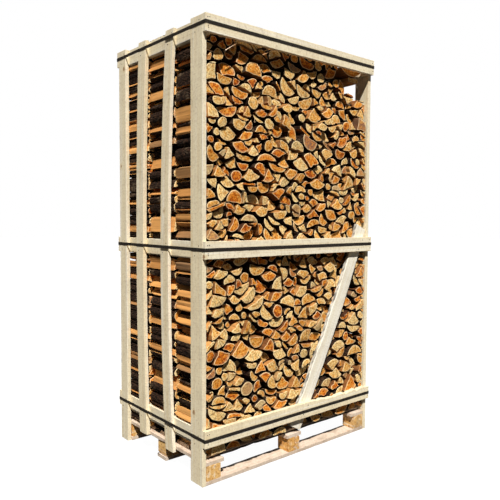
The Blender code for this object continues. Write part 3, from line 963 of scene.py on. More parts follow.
@dataclass
class Crate:
    """The open crate: slats on the short sides, rails on all four, and two braces."""

    width: float = 1.130
    depth: float = 0.795
    height: float = 2.050
    board: float = 0.020
    slats: tuple[SlatSize, ...] = (
        SlatSize("slat_left_1", -1, 0.092, 0.000, (0.0663, 0.0663, 0.0663)),
        SlatSize("slat_left_2", -1, 0.068, 0.075, (0.300, 0.340, 0.287), thinned=0.004),
        SlatSize("slat_left_3", -1, 0.070, 0.090, (0.540, 0.566, 0.532)),
        SlatSize("slat_left_4", -1, 0.070, 0.000, (0.7397, 0.7397, 0.7397)),
        SlatSize("slat_right_1", 1, 0.092, 0.000, (0.0663, 0.0663, 0.0663)),
        SlatSize("slat_right_2", 1, 0.070, 0.085, (0.312, 0.300, 0.308),
                 wanes=(Wane(1, 0.3, 0.7, 0.006, 0.009),)),
        SlatSize("slat_right_3", 1, 0.070, 0.080, (0.545, 0.553, 0.540), thinned=0.002),
        SlatSize("slat_right_4", 1, 0.070, 0.000, (0.7397, 0.7397, 0.7397)),
    )
    brace_length: float = 1.127
    brace_width: float = 0.080
    brace_foot: Pair = (0.0405, 0.115)
    brace_slope: Pair = (0.495, 1.0)
    brace_bow: float = 0.020
    nail_head: float = 0.0031
    nail_length: float = 0.006
    levels: dict[str, float] = field(default_factory=lambda: {
        "top": 2.0115, "middle": 1.049, "bottom": 0.217})
    side_levels: tuple[float, ...] = (2.008, 1.046, 0.201)
    end_nails: tuple[Pair, ...] = (
        (-0.5525, 0.0215), (-0.5425, 0.0225), (-0.5500, -0.0140), (-0.5490, -0.0215), (0.5530, 0.0230),
        (0.5560, -0.0210))
    brace_nails: dict[str, list[Pair]] = field(default_factory=lambda: {
        "middle": [(0.456, 1.024), (0.492, 1.072)], "bottom": [(0.044, 0.200), (0.078, 0.240)]})
    bottom_bites: tuple[Point, ...] = (
        (0.620, 0.650, 0.006), (0.665, 0.735, 0.009), (0.725, 0.765, 0.012), (0.770, 0.800, 0.006),
        (0.805, 0.850, 0.013), (0.845, 0.880, 0.007), (0.890, 0.925, 0.012), (0.930, 0.960, 0.006),
        (0.955, 1.020, 0.011))

    def build(self) -> None:
        """Make every board of the crate."""
        material, pale = SAWN_CREAM.build(), SAWN_WHITE.build()
        self.nailer = Grower("nails", NailFinish().build())
        for k, slat in enumerate(self.slats):
            wear = BoardWear(wanes=slat.wanes, chips=7)
            self.board_piece(slat.node, self.slat_place(slat), wear, 20 + k, material)
        for k, level in enumerate(("top", "middle", "bottom")):
            for side in ("left", "right"):
                node = f"side_rail_{side}_{level}"
                wear = BoardWear(wanes=self.side_wanes(side, level))
                seed = 40 + 2 * k + (side == "right")
                self.board_piece(node, BoardPlace.of_node(node, 1, 0), wear, seed, material)
            for face in ("front", "back"):
                node = f"{face}_rail_{level}"
                wear = self.front_wear(face, level)
                seed = 50 + 2 * k + (face == "back")
                self.board_piece(node, BoardPlace.of_node(node, 0, 1), wear, seed, material)
        for k, face in enumerate((1, -1)):
            node = "brace_front" if face > 0 else "brace_back"
            waves = tuple(Bite(1, start, start + 0.15, 0.0060) for start in (0.12, 0.36, 0.58, 0.70, 0.82))
            # The brace's right front edge gets a shallow bevel tinted pale, a painted highlight. Both left
            # corners are tinted darker along the whole brace, a painted shade that keeps its sunlit left side
            # face dark.
            bark = (Wane(2, -0.05, 1.05, 0.003, 0.012, -0.5), Wane(1, -0.05, 1.05, 0.0, 0.0, -0.5))
            wear = BoardWear(chips=4, wanes=(Wane(3, -0.1, 1.1, 0.013, 0.0016, 1.0), *bark), bites=waves)
            self.board_piece(node, self.brace_place(face), wear, 60 + k, pale)

    def board_piece(self, node: str, place: BoardPlace, wear: BoardWear, seed: int,
                    material: Material) -> None:
        """Make one board in the place of its node.

        Args:
            node: The CAD node.
            place: Where the board lies.
            wear: How its edges are worn.
            seed: Seed of its unevenness.
            material: Its material.
        """
        draft = Draft()
        RoughBoard(place, wear, seed).add_to(draft)
        piece = draft.finish(f"{node}_sawn", [material], BOARD_ANGLE)
        settle(self.nailer.grow(piece, self.nails(node)), "sawn_board", node)

    def nails(self, node: str) -> list[Spot]:
        """The nails in a board: through a slat into the side rails, or at a rail's ends and the brace."""
        size = (self.nail_head, self.nail_head, self.nail_length)
        part, *_, last = node.split("_")
        if part in ("front", "back"):
            face = -1 if part == "front" else 1
            level = self.levels[last]
            places = [(x, level + dz) for x, dz in self.end_nails]
            if part == "front" and last != "top":
                places += self.brace_nails[last]
            y = face * (self.depth / 2 + 0.0004 - self.nail_length)
            return [Spot((x, y, z), (0.0, float(face), 0.0), size) for x, z in places]
        slat = next((slat for slat in self.slats if slat.node == node), None)
        if slat is None:
            return []
        place = self.slat_place(slat)
        spots = []
        x = slat.side * (self.width / 2 - slat.thinned + 0.0004 - self.nail_length)
        for k, level in enumerate(self.side_levels):
            for away, up in ((-0.016, 0.021), (0.014, -0.023)):
                t = np.array((level + up - slat.foot) / (self.height - slat.foot))
                y = float(place.bow_at(t)) + away + 0.003 * (k - 1)
                spots.append(Spot((x, y, level + up), (float(slat.side), 0.0, 0.0), size))
        return spots

    def slat_place(self, slat: SlatSize) -> BoardPlace:
        """Where a slat lies, with its bow."""
        thick = self.board - slat.thinned
        middle = slat.side * (self.width / 2 - slat.thinned - thick / 2)
        start = np.array([middle, 0.0, slat.foot])
        bow = tuple(depth - self.depth / 2 for depth in slat.depths)
        size = (self.height - slat.foot, slat.width, thick)
        return BoardPlace(start, np.array([0.0, 0.0, 1.0]), np.array([0.0, 1.0, 0.0]),
                          np.array([float(slat.side), 0.0, 0.0]), size, bow)

    def brace_place(self, face: int) -> BoardPlace:
        """Where a brace lies: face is 1 in front and -1 behind."""
        low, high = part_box("brace_front" if face > 0 else "brace_back")
        slope = np.array(self.brace_slope) / np.hypot(*self.brace_slope)
        along = np.array([face * slope[0], 0.0, slope[1]])
        across = np.array([-face * slope[1], 0.0, slope[0]])
        foot = np.array([face * self.brace_foot[0], (low.y + high.y) / 2, self.brace_foot[1]])
        out = np.array([0.0, -float(face), 0.0])
        return BoardPlace(foot + across * self.brace_width / 2, along, across, out,
                          (self.brace_length, self.brace_width, self.board), (0.0, -self.brace_bow, 0.0))

    def side_wanes(self, side: str, level: str) -> tuple[Wane, ...]:
        """Wane on the side rails: bark spots along the top edge of the left one."""
        if (side, level) == ("left", "top"):
            return tuple(Wane(1, start, start + 0.032, 0.012, 0.005, -1.0)
                         for start in (0.39, 0.44, 0.485, 0.535, 0.595))
        return ()

    def front_wear(self, face: str, level: str) -> BoardWear:
        """Wear of the front and back rails: the bottom front one's upper edge is bitten at the right."""
        if (face, level) == ("front", "bottom"):
            bites = tuple(Bite(1, start, end, deep) for start, end, deep in self.bottom_bites)
            return BoardWear(wanes=(Wane(1, 0.60, 1.0, 0.004, 0.008),), bites=bites)
        if (face, level) == ("back", "middle"):
            return BoardWear(wanes=(Wane(2, 0.1, 0.5, 0.008, 0.010),))
        return BoardWear(chips=3, chip=0.002)


@dataclass
class PalletBase:
    """The nine-block pallet: runners, blocks, stringers and deck boards."""

    places: tuple[str, ...] = ("front", "middle", "back")
    columns: tuple[str, ...] = ("left", "middle", "right")
    deck_boards: int = 5

    def build(self) -> None:
        """Make every board and block of the pallet."""
        board, block = PALLET_PINK.build(), BLOCK_TAN.build()
        rough = BoardWear(ease=0.0018, chips=8, chip=0.006)
        seed = 80
        # Each runner's top is tinted dark over its back 46 mm: a painted shadow along its back edge.
        bark = (Wane(2, -0.05, 1.05, 0.046, 0.0012, -1.0),)
        for row in self.places:
            shaded_runner_wear = BoardWear(ease=0.0018, chips=8, chip=0.006, wanes=bark)
            self.piece(f"pallet_runner_{row}", 0, 2, shaded_runner_wear, seed, board, "pallet_board")
            for column in self.columns:
                seed += 1
                wear = BoardWear(ease=0.0022, chips=3, chip=0.007)
                self.piece(f"pallet_block_{row}_{column}", 1, 2, wear, seed, block, "pallet_block")
            seed += 1
        for column in self.columns:
            seed += 1
            self.piece(f"pallet_stringer_{column}", 1, 2, rough, seed, board, "pallet_board")
        waney = BoardWear(ease=0.0018, chips=12, chip=0.008, wanes=tuple(
            Wane(0, start, start + reach, 0.006, deep, -1.0)
            for start, reach, deep in ((-0.02, 0.16, 0.007), (0.13, 0.22, 0.010), (0.34, 0.17, 0.006),
                                       (0.50, 0.28, 0.010), (0.77, 0.11, 0.007), (0.87, 0.15, 0.010))))
        for k in range(self.deck_boards):
            seed += 1
            self.piece(f"pallet_deck_board_{k + 1}", 0, 2, rough if k else waney, seed, board, "pallet_board")

    def piece(self, node: str, run: int, thin: int, wear: BoardWear, seed: int, material: Material,
              slot: str) -> None:
        """Make one board or block in the place of its node.

        Args:
            node: The CAD node.
            run: Axis along its grain.
            thin: Axis through its thickness.
            wear: How its edges are worn.
            seed: Seed of its unevenness.
            material: Its material.
            slot: A slot name, handed on to settle.
        """
        draft = Draft()
        RoughBoard(BoardPlace.of_node(node, run, thin), wear, seed).add_to(draft, dirt=0.60)
        settle(draft.finish(f"{node}_sawn", [material], BOARD_ANGLE), slot, node)


@dataclass
class StrapSet:
    """The three packing straps, whose CAD shape is kept."""

    levels: tuple[str, ...] = ("top", "middle", "bottom")

    def build(self) -> None:
        """Dress the straps."""
        material = StrapFinish().build()
        for level in self.levels:
            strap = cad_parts[f"strap_{level}"]
            for slot in strap.material_slots:
                slot.material = material
            log.info("strap_%s: dressed", level)


class Split(Enum):
    """How a log was split from its round."""

    ROUND = "round"
    HALF = "half"
    THIRD = "third"
    QUARTER = "quarter"
    WEDGE = "wedge"
    SLAB = "slab"
    CORE = "core"
    CRESCENT = "crescent"
    SLIVER = "sliver"


@dataclass(frozen=True)
class SplitPlan:
    """How common a split is, and the size of the rounds that it comes from.

    Attributes:
        split: The kind of split.
        share: How many of the logs are of this kind.
        radius: Smallest and largest radius of the round, in metres.
    """

    split: Split
    share: float
    radius: Pair


@dataclass(frozen=True)
class Billet:
    """One split log seen from its end.

    Attributes:
        outline: Its outline, in metres.
        bark: For each edge of the outline, whether it is bark.
        pith: Where the middle of the tree was.
        radius: Radius of the round that it came from.
    """

    outline: Array
    bark: Array
    pith: Array
    radius: float

    def turned(self, angle: float) -> "Billet":
        """The same log turned about its own middle."""
        turn = np.array([[cos(angle), sin(angle)], [-sin(angle), cos(angle)]])
        return Billet(self.outline @ turn, self.bark, self.pith @ turn, self.radius)

    def moved(self, x: float, z: float) -> "Billet":
        """The same log moved."""
        shift = np.array([x, z])
        return Billet(self.outline + shift, self.bark, self.pith + shift, self.radius)


def area(outline: Array) -> float:
    """Area of a closed outline."""
    after = np.roll(outline, -1, axis=0)
    return abs(float(np.sum(outline[:, 0] * after[:, 1] - outline[:, 1] * after[:, 0]))) / 2


class BilletMaker:
    """Splits rounds into billets as an axe does."""

    PLANS = (
        SplitPlan(Split.ROUND, 0.07, (0.022, 0.036)),
        SplitPlan(Split.HALF, 0.22, (0.034, 0.056)),
        SplitPlan(Split.THIRD, 0.15, (0.050, 0.070)),
        SplitPlan(Split.QUARTER, 0.18, (0.052, 0.080)),
        SplitPlan(Split.WEDGE, 0.10, (0.062, 0.088)),
        SplitPlan(Split.SLAB, 0.12, (0.046, 0.072)),
        SplitPlan(Split.CORE, 0.09, (0.054, 0.076)),
        SplitPlan(Split.CRESCENT, 0.02, (0.036, 0.050)),
        SplitPlan(Split.SLIVER, 0.05, (0.044, 0.066)),
    )
    POINTS = 18

    def __init__(self, rng: Chance) -> None:
        """Keep the source of chance.

        Args:
            rng: Where the unevenness comes from.
        """
        self.rng = rng
        self.shares = np.array([plan.share for plan in self.PLANS])
        self.shares /= self.shares.sum()

    def make(self, smaller: float = 1.0) -> Billet:
        """Split one billet.

        Args:
            smaller: Factor on the round's size.

        Returns:
            The billet, about its own middle.
        """
        rng = self.rng
        plan = self.PLANS[rng.choice(len(self.PLANS), p=self.shares)]
        radius = rng.uniform(*plan.radius) * smaller
        angles = np.linspace(0, 2 * pi, 44, endpoint=False)
        squash = rng.uniform(-0.12, 0.12)
        lobes = squash * np.cos(2 * angles) + rng.uniform(0.0, 0.07) * np.sin(3 * angles + rng.uniform(0, 6))
        lobes += rng.uniform(0.0, 0.035) * np.sin(5 * angles + rng.uniform(0, 6))
        reach = radius * (1 + lobes + rng.normal(0.0, 0.014, len(angles)))
        outline = np.column_stack((np.cos(angles), np.sin(angles))) * reach[:, None]
        bark = np.ones(len(outline), bool)
        for direction, distance in self.cuts(plan.split, radius):
            outline, bark = self.clip(outline, bark, direction, distance)
        outline, bark = self.resample(outline, bark)
        if plan.split is Split.CRESCENT:
            outline = self.hollowed(outline, radius)
        middle = (outline.max(axis=0) + outline.min(axis=0)) / 2
        return Billet(outline - middle, bark, -middle, radius)

    def cuts(self, split: Split, radius: float) -> list[Pair]:
        """The cuts of a split.

        Args:
            split: The kind of split.
            radius: Radius of the round.

        Returns:
            Each cut's direction in radians and its distance from the pith: what lies past it goes.
        """
        rng = self.rng
        near = radius * rng.normal(0.0, 0.10)
        if split is Split.HALF:
            return [(0.0, near)]
        if split is Split.THIRD:
            return [(0.0, near), (rng.uniform(0.9, 1.35), radius * rng.normal(0.0, 0.09))]
        if split is Split.QUARTER:
            return [(0.0, near), (rng.uniform(1.3, 1.9), radius * rng.normal(0.03, 0.08))]
        if split is Split.WEDGE:
            return [(0.0, near), (rng.uniform(1.9, 2.4), radius * rng.normal(0.0, 0.06))]
        if split is Split.SLAB:
            return [(0.0, -radius * rng.uniform(0.25, 0.55))]
        if split is Split.CORE:
            far = rng.uniform(0.55, 0.85) * radius
            return [(0.0, near), (rng.uniform(1.3, 1.9), radius * 0.04), (rng.uniform(3.6, 4.4), far)]
        if split is Split.CRESCENT:
            return [(0.0, -radius * 0.1)]
        if split is Split.SLIVER:
            start = radius * rng.uniform(0.2, 0.6)
            return [(rng.uniform(-0.15, 0.15), -start), (pi, start + radius * rng.uniform(0.22, 0.36))]
        return []

    @staticmethod
    def hollowed(outline: Array, radius: float) -> Array:
        """Scoop the flat side of a half round into a crescent."""
        lag = np.clip((outline[:, 0] + radius * 0.16) / (radius * 0.06), 0, 1)
        bend = np.clip(1 - (outline[:, 1] / radius) ** 2, 0, 1)
        scooped = outline.copy()
        scooped[:, 0] -= lag * bend * radius * 0.5
        return scooped

    def clip(self, outline: Array, bark: Array, direction: float, distance: float) -> tuple[Array, Array]:
        """Cut an outline along a line.

        Args:
            outline: The outline.
            bark: Bark flag of each edge.
            direction: The way that the removed side lies, in radians.
            distance: How far the line is from the pith that way.

        Returns:
            The outline that is left and its flags.
        """
        normal = np.array([cos(direction), sin(direction)])
        over = outline @ normal - distance
        points, flags = [], []
        for k in range(len(outline)):
            after = (k + 1) % len(outline)
            if over[k] <= 0:
                points.append(outline[k])
                flags.append(bark[k])
            if (over[k] <= 0) != (over[after] <= 0):
                share = over[k] / (over[k] - over[after])
                points.append(outline[k] + (outline[after] - outline[k]) * share)
                flags.append(bark[k] if over[k] > 0 else False)
        return np.array(points), np.array(flags, bool)

    def resample(self, outline: Array, bark: Array) -> tuple[Array, Array]:
        """Even out an outline's points, keep its corners and roughen its split faces.

        Args:
            outline: The outline.
            bark: Bark flag of each edge.

        Returns:
            The new outline and its flags.
        """
        rng = self.rng
        steps = np.roll(outline, -1, axis=0) - outline
        lengths = np.hypot(steps[:, 0], steps[:, 1])
        ends = np.concatenate(([0.0], np.cumsum(lengths)))
        total = ends[-1]
        headings = np.arctan2(steps[:, 1], steps[:, 0])
        turns = np.abs((headings - np.roll(headings, 1) + pi) % (2 * pi) - pi)
        corners = [ends[k] for k in range(len(outline)) if turns[k] > 0.45]
        places = np.linspace(0.0, total, self.POINTS, endpoint=False) + rng.uniform(0, total / self.POINTS)
        taken: set[int] = set()
        for corner in corners:
            away = np.abs((places - corner + total / 2) % total - total / 2)
            for index in np.argsort(away):
                if int(index) not in taken:
                    places[index] = corner
                    taken.add(int(index))
                    break
        places = places % total
        order = np.argsort(places)
        is_corner = np.array([int(index) in taken for index in order])
        places = places[order]
        closed = np.vstack((outline, outline[:1]))
        points = np.column_stack([np.interp(places, ends, closed[:, axis]) for axis in (0, 1)])
        following = np.append(places[1:], places[0] + total)
        halfway = ((places + following) / 2) % total
        edges = np.clip(np.searchsorted(ends, halfway, side="right") - 1, 0, len(bark) - 1)
        flags = bark[edges]
        middle = points.mean(axis=0)
        outwards = points - middle
        outwards /= np.linalg.norm(outwards, axis=1)[:, None]
        split = ~flags & ~np.roll(flags, 1)
        wave = rng.uniform(0.0015, 0.0038) * np.sin(places * rng.uniform(60, 110) + rng.uniform(0, 6))
        rough = (rng.normal(0.0, 0.0014, len(points)) + wave) * (split & ~is_corner)
        rough -= 0.0014 * is_corner
        return points + outwards * rough[:, None], flags


@dataclass(frozen=True)
class Ledge:
    """A rail at the stack's sides, that logs go under and over but not through.

    Attributes:
        low: Its underside.
        high: Its top.
    """

    low: float
    high: float


class Skyline:
    """Stacks billets from the ground up, each where it fits best in the lowest hollow."""

    STEP = 0.003
    TURNS = 7
    CHOICES = 4
    HEIGHT_WEIGHT = 0.30
    TALL_WEIGHT = 0.35
    SLOT_WEIGHT = 0.55
    SNUG = 0.004
    TIGHT = 0.030
    RISE = 0.020
    USUAL = 0.070
    SMALLEST = 0.74
    LEAST_WIDTH = 0.032
    SIZE_REWARD = 0.42
    CLEAR = 0.0028
    LEAST_ROOM = 0.016

    def __init__(self, half: float, ledge_half: float, floor: float, tops: Sequence[Pair],
                 ledges: Sequence[Ledge], maker: BilletMaker, rng: Chance) -> None:
        """Start an empty stack.

        Args:
            half: Half its width.
            ledge_half: Half its width beside the ledges.
            floor: Height that it stands on.
            tops: Pairs of x and the height that the stack may reach there.
            ledges: The rails at its sides, from the lowest up.
            maker: Where the billets come from.
            rng: Source of chance.
        """
        self.left = -half
        self.columns = int(2 * half / self.STEP)
        self.floor = floor
        self.half = half
        self.profile = np.full(self.columns, floor)
        self.solid = self.profile.copy()
        middles = self.left + (np.arange(self.columns) + 0.5) * self.STEP
        self.ceiling = np.interp(middles, [x for x, _ in tops], [z for _, z in tops])
        self.margin = np.abs(middles) > ledge_half - self.STEP / 2
        self.ledges = list(ledges)
        self.lid = self.ceiling.copy()
        self.passed = np.zeros(self.columns, int)
        self.maker = maker
        self.rng = rng
        self.billets: list[Billet] = []
        self.pass_ledges()

    def pass_ledges(self) -> None:
        """Set the lid over each column at the sides, and lift what has no room left under its ledge."""
        for column in np.flatnonzero(self.margin):
            while self.passed[column] < len(self.ledges):
                ledge = self.ledges[self.passed[column]]
                if self.profile[column] < ledge.low - self.LEAST_ROOM:
                    self.lid[column] = min(ledge.low, self.ceiling[column])
                    break
                self.profile[column] = max(self.profile[column], ledge.high)
                self.passed[column] += 1
                self.lid[column] = self.ceiling[column]

    def reopen(self, tops: Sequence[Pair]) -> None:
        """Let the stack be filled further, up to new heights."""
        middles = self.left + (np.arange(self.columns) + 0.5) * self.STEP
        self.ceiling = np.interp(middles, [x for x, _ in tops], [z for _, z in tops])
        self.lid = self.ceiling.copy()

    def level(self, until: float) -> None:
        """Lay flat offcuts over the hollows that are left under the ceiling.

        Args:
            until: The x up to which it is done.
        """
        last = int((until - self.left) / self.STEP)
        room = self.ceiling - self.solid > 0.004
        column = int(np.argmin(self.margin))
        while column < last:
            end = column
            limit = min(last, column + int(self.rng.uniform(0.045, 0.11) / self.STEP))
            while end < limit and room[end]:
                end += 1
            if end - column >= 4:
                self.cover(column, end)
            column = end + 1

    def cover(self, first: int, end: int) -> None:
        """Lay one offcut whose underside follows the stack, from one column to another."""
        picks = np.linspace(first, end - 1, 9).round().astype(int)
        across = self.left + (picks + 0.5) * self.STEP
        upper = self.ceiling[picks] - self.rng.uniform(0.0, 0.002, 9)
        lower = np.minimum(np.maximum(self.solid[picks] + 0.0005, upper - 0.036), upper - 0.0035)
        outline = np.vstack((np.column_stack((across, lower)), np.column_stack((across, upper))[::-1]))
        pith = np.array([across.mean(), lower.min() - 0.05])
        self.billets.append(Billet(outline, np.zeros(len(outline), bool), pith, 0.10))
        self.solid[first:end] = self.ceiling[first:end]

    def flank(self, side: int, top: float, set_in: Pair) -> None:
        """Fill the notches between the billets and one wall with offcuts.

        Args:
            side: -1 for the left wall, 1 for the right one.
            top: Height up to which it is done.
            set_in: The least and the most that an offcut stands back from the wall.
        """
        heights = self.floor + (np.arange(int((top - self.floor) / self.STEP)) + 0.5) * self.STEP
        reach = np.full(len(heights), self.half - 0.060)
        shares = np.linspace(0, 1, 12, endpoint=False)[:, None, None]
        for billet in self.billets:
            after = np.roll(billet.outline, -1, axis=0)
            dense = (billet.outline + (after - billet.outline) * shares).reshape(-1, 2)
            rows = ((dense[:, 1] - self.floor) / self.STEP).astype(int)
            kept = (rows >= 0) & (rows < len(heights))
            np.maximum.at(reach, rows[kept], side * dense[kept, 0])
        beside = np.zeros(len(heights), bool)
        for ledge in self.ledges:
            beside |= (heights > ledge.low - self.STEP) & (heights < ledge.high + self.STEP)
        room = (self.half - reach > set_in[1] + 0.004) & ~beside
        row = 0
        while row < len(heights):
            end = row
            limit = min(len(heights), row + int(self.rng.uniform(0.030, 0.075) / self.STEP))
            while end < limit and room[end]:
                end += 1
            if end - row >= 3:
                picks = np.linspace(row, end - 1, 9).round().astype(int)
                outer = side * (self.half - self.rng.uniform(*set_in, 9))
                inner = side * np.minimum(reach[picks] + 0.0005, self.half - set_in[1] - 0.004)
                outline = np.vstack((np.column_stack((inner, heights[picks])),
                                     np.column_stack((outer, heights[picks]))[::-1]))
                pith = np.array([side * (self.half - 0.09), heights[picks].mean()])
                # The offcuts stand back in real shadow, and their outer faces are dark bark, a painted shade
                # so the filled notches read as dark holes.
                self.billets.append(Billet(outline, np.arange(18) >= 8, pith, 0.09))
            row = end + 1

    def envelopes(self, billet: Billet) -> tuple[Array, Array, float]:
        """The lower and upper edge of a billet, column by column, and its left end."""
        after = np.roll(billet.outline, -1, axis=0)
        shares = np.linspace(0, 1, 12, endpoint=False)[:, None, None]
        dense = (billet.outline + (after - billet.outline) * shares).reshape(-1, 2)
        start = dense[:, 0].min()
        index = ((dense[:, 0] - start) / self.STEP).astype(int)
        width = index.max() + 1
        low, high = np.full(width, np.inf), np.full(width, -np.inf)
        np.minimum.at(low, index, dense[:, 1])
        np.maximum.at(high, index, dense[:, 1])
        held = np.isfinite(low)
        columns = np.arange(width)
        low, high = (np.interp(columns, columns[held], edge[held]) for edge in (low, high))
        return low, high, start

    def hollow(self) -> tuple[int, int]:
        """The first and last column of the lowest hollow."""
        lowest = int(np.argmin(self.profile + 1e3 * (self.profile >= self.lid - self.LEAST_ROOM)))
        high = self.profile > self.profile[lowest] + self.RISE
        first, last = lowest, lowest
        while first > 0 and not high[first - 1]:
            first -= 1
        while last < self.columns - 1 and not high[last + 1]:
            last += 1
        return first, last

    def place(self, first: int, last: int, smaller: float) -> bool:
        """Place one more billet in a hollow.

        Args:
            first: The hollow's first column.
            last: Its last column.
            smaller: Factor on the billet's size.

        Returns:
            Whether there was room.
        """
        best = None
        ground = self.profile[first:last + 1].min()
        for _ in range(self.CHOICES):
            billet = self.maker.make(smaller * self.rng.uniform(0.86, 1.1))
            reward = self.SIZE_REWARD * float(np.sqrt(area(billet.outline)))
            for angle in self.rng.uniform(0, 2 * pi, self.TURNS):
                turned = billet.turned(angle)
                low, high, start = self.envelopes(turned)
                width = len(low)
                begin = max(0, first - width // 3)
                end = min(self.columns, last + 1 + width // 3)
                if end - begin < width:
                    continue
                windows = np.lib.stride_tricks.sliding_window_view(self.profile[begin:end], width)
                lids = np.lib.stride_tricks.sliding_window_view(self.lid[begin:end], width)
                base = (windows - low).max(axis=1)
                gap = (base[:, None] + low - windows).mean(axis=1)
                spots = begin + np.arange(len(base))
                slack_left = np.maximum(0, spots - first) * self.STEP
                slack_right = np.maximum(0, last + 1 - spots - width) * self.STEP
                slot = sum(np.where((s > self.SNUG) & (s < self.TIGHT), self.TIGHT - s, 0.0)
                           for s in (slack_left, slack_right))
                tall = max(0.0, (high.max() - low.min()) - 1.05 * width * self.STEP)
                score = (gap + self.HEIGHT_WEIGHT * (base + high.mean() - ground) + self.TALL_WEIGHT * tall
                         + self.SLOT_WEIGHT * slot - reward)
                score = np.where((lids - high).min(axis=1) >= base, score, np.inf)
                pick = int(score.argmin())
                if np.isfinite(score[pick]) and (best is None or score[pick] < best[0]):
                    best = (score[pick], begin + pick, float(base[pick]), turned, high, start)
        if best is None:
            return False
        _, spot, base, turned, high, start = best
        self.billets.append(turned.moved(self.left + spot * self.STEP - start, base))
        self.profile[spot:spot + len(high)] = base + high + self.CLEAR
        self.solid[spot:spot + len(high)] = base + high
        return True

    def fill(self) -> list[Billet]:
        """Fill the lowest hollow again and again, and leave a void where nothing fits."""
        while True:
            self.pass_ledges()
            if (self.profile >= self.lid - self.LEAST_ROOM).all():
                return self.billets
            first, last = self.hollow()
            wide = (last + 1 - first) * self.STEP
            smaller = float(np.clip(wide / self.USUAL, self.SMALLEST, 1.0))
            tries = (1.0, 0.72) if wide > self.LEAST_WIDTH else ()
            if any(self.place(first, last, smaller * shrink) for shrink in tries):
                continue
            walls = [self.profile[k] for k in (first - 1, last + 1) if 0 <= k < self.columns]
            lift = min(walls) if walls else self.profile[first:last + 1].max() + 0.01
            low = self.profile[first:last + 1]
            low[low < lift] = lift


@dataclass(frozen=True)
class RowPlan:
    """One row of logs.

    Attributes:
        name: Front, middle or back.
        seed: Seed of its logs.
        near: Y of the row's near face.
        face: 1 where its near ends are open to view, -1 where its far ends are, 0 for neither.
        tops: Pairs of x and the height that it reaches.
        level_to: The x up to which its top is made up to that height.
    """

    name: str
    seed: int
    near: float
    face: int
    tops: tuple[Pair, ...]
    level_to: float = 0.53


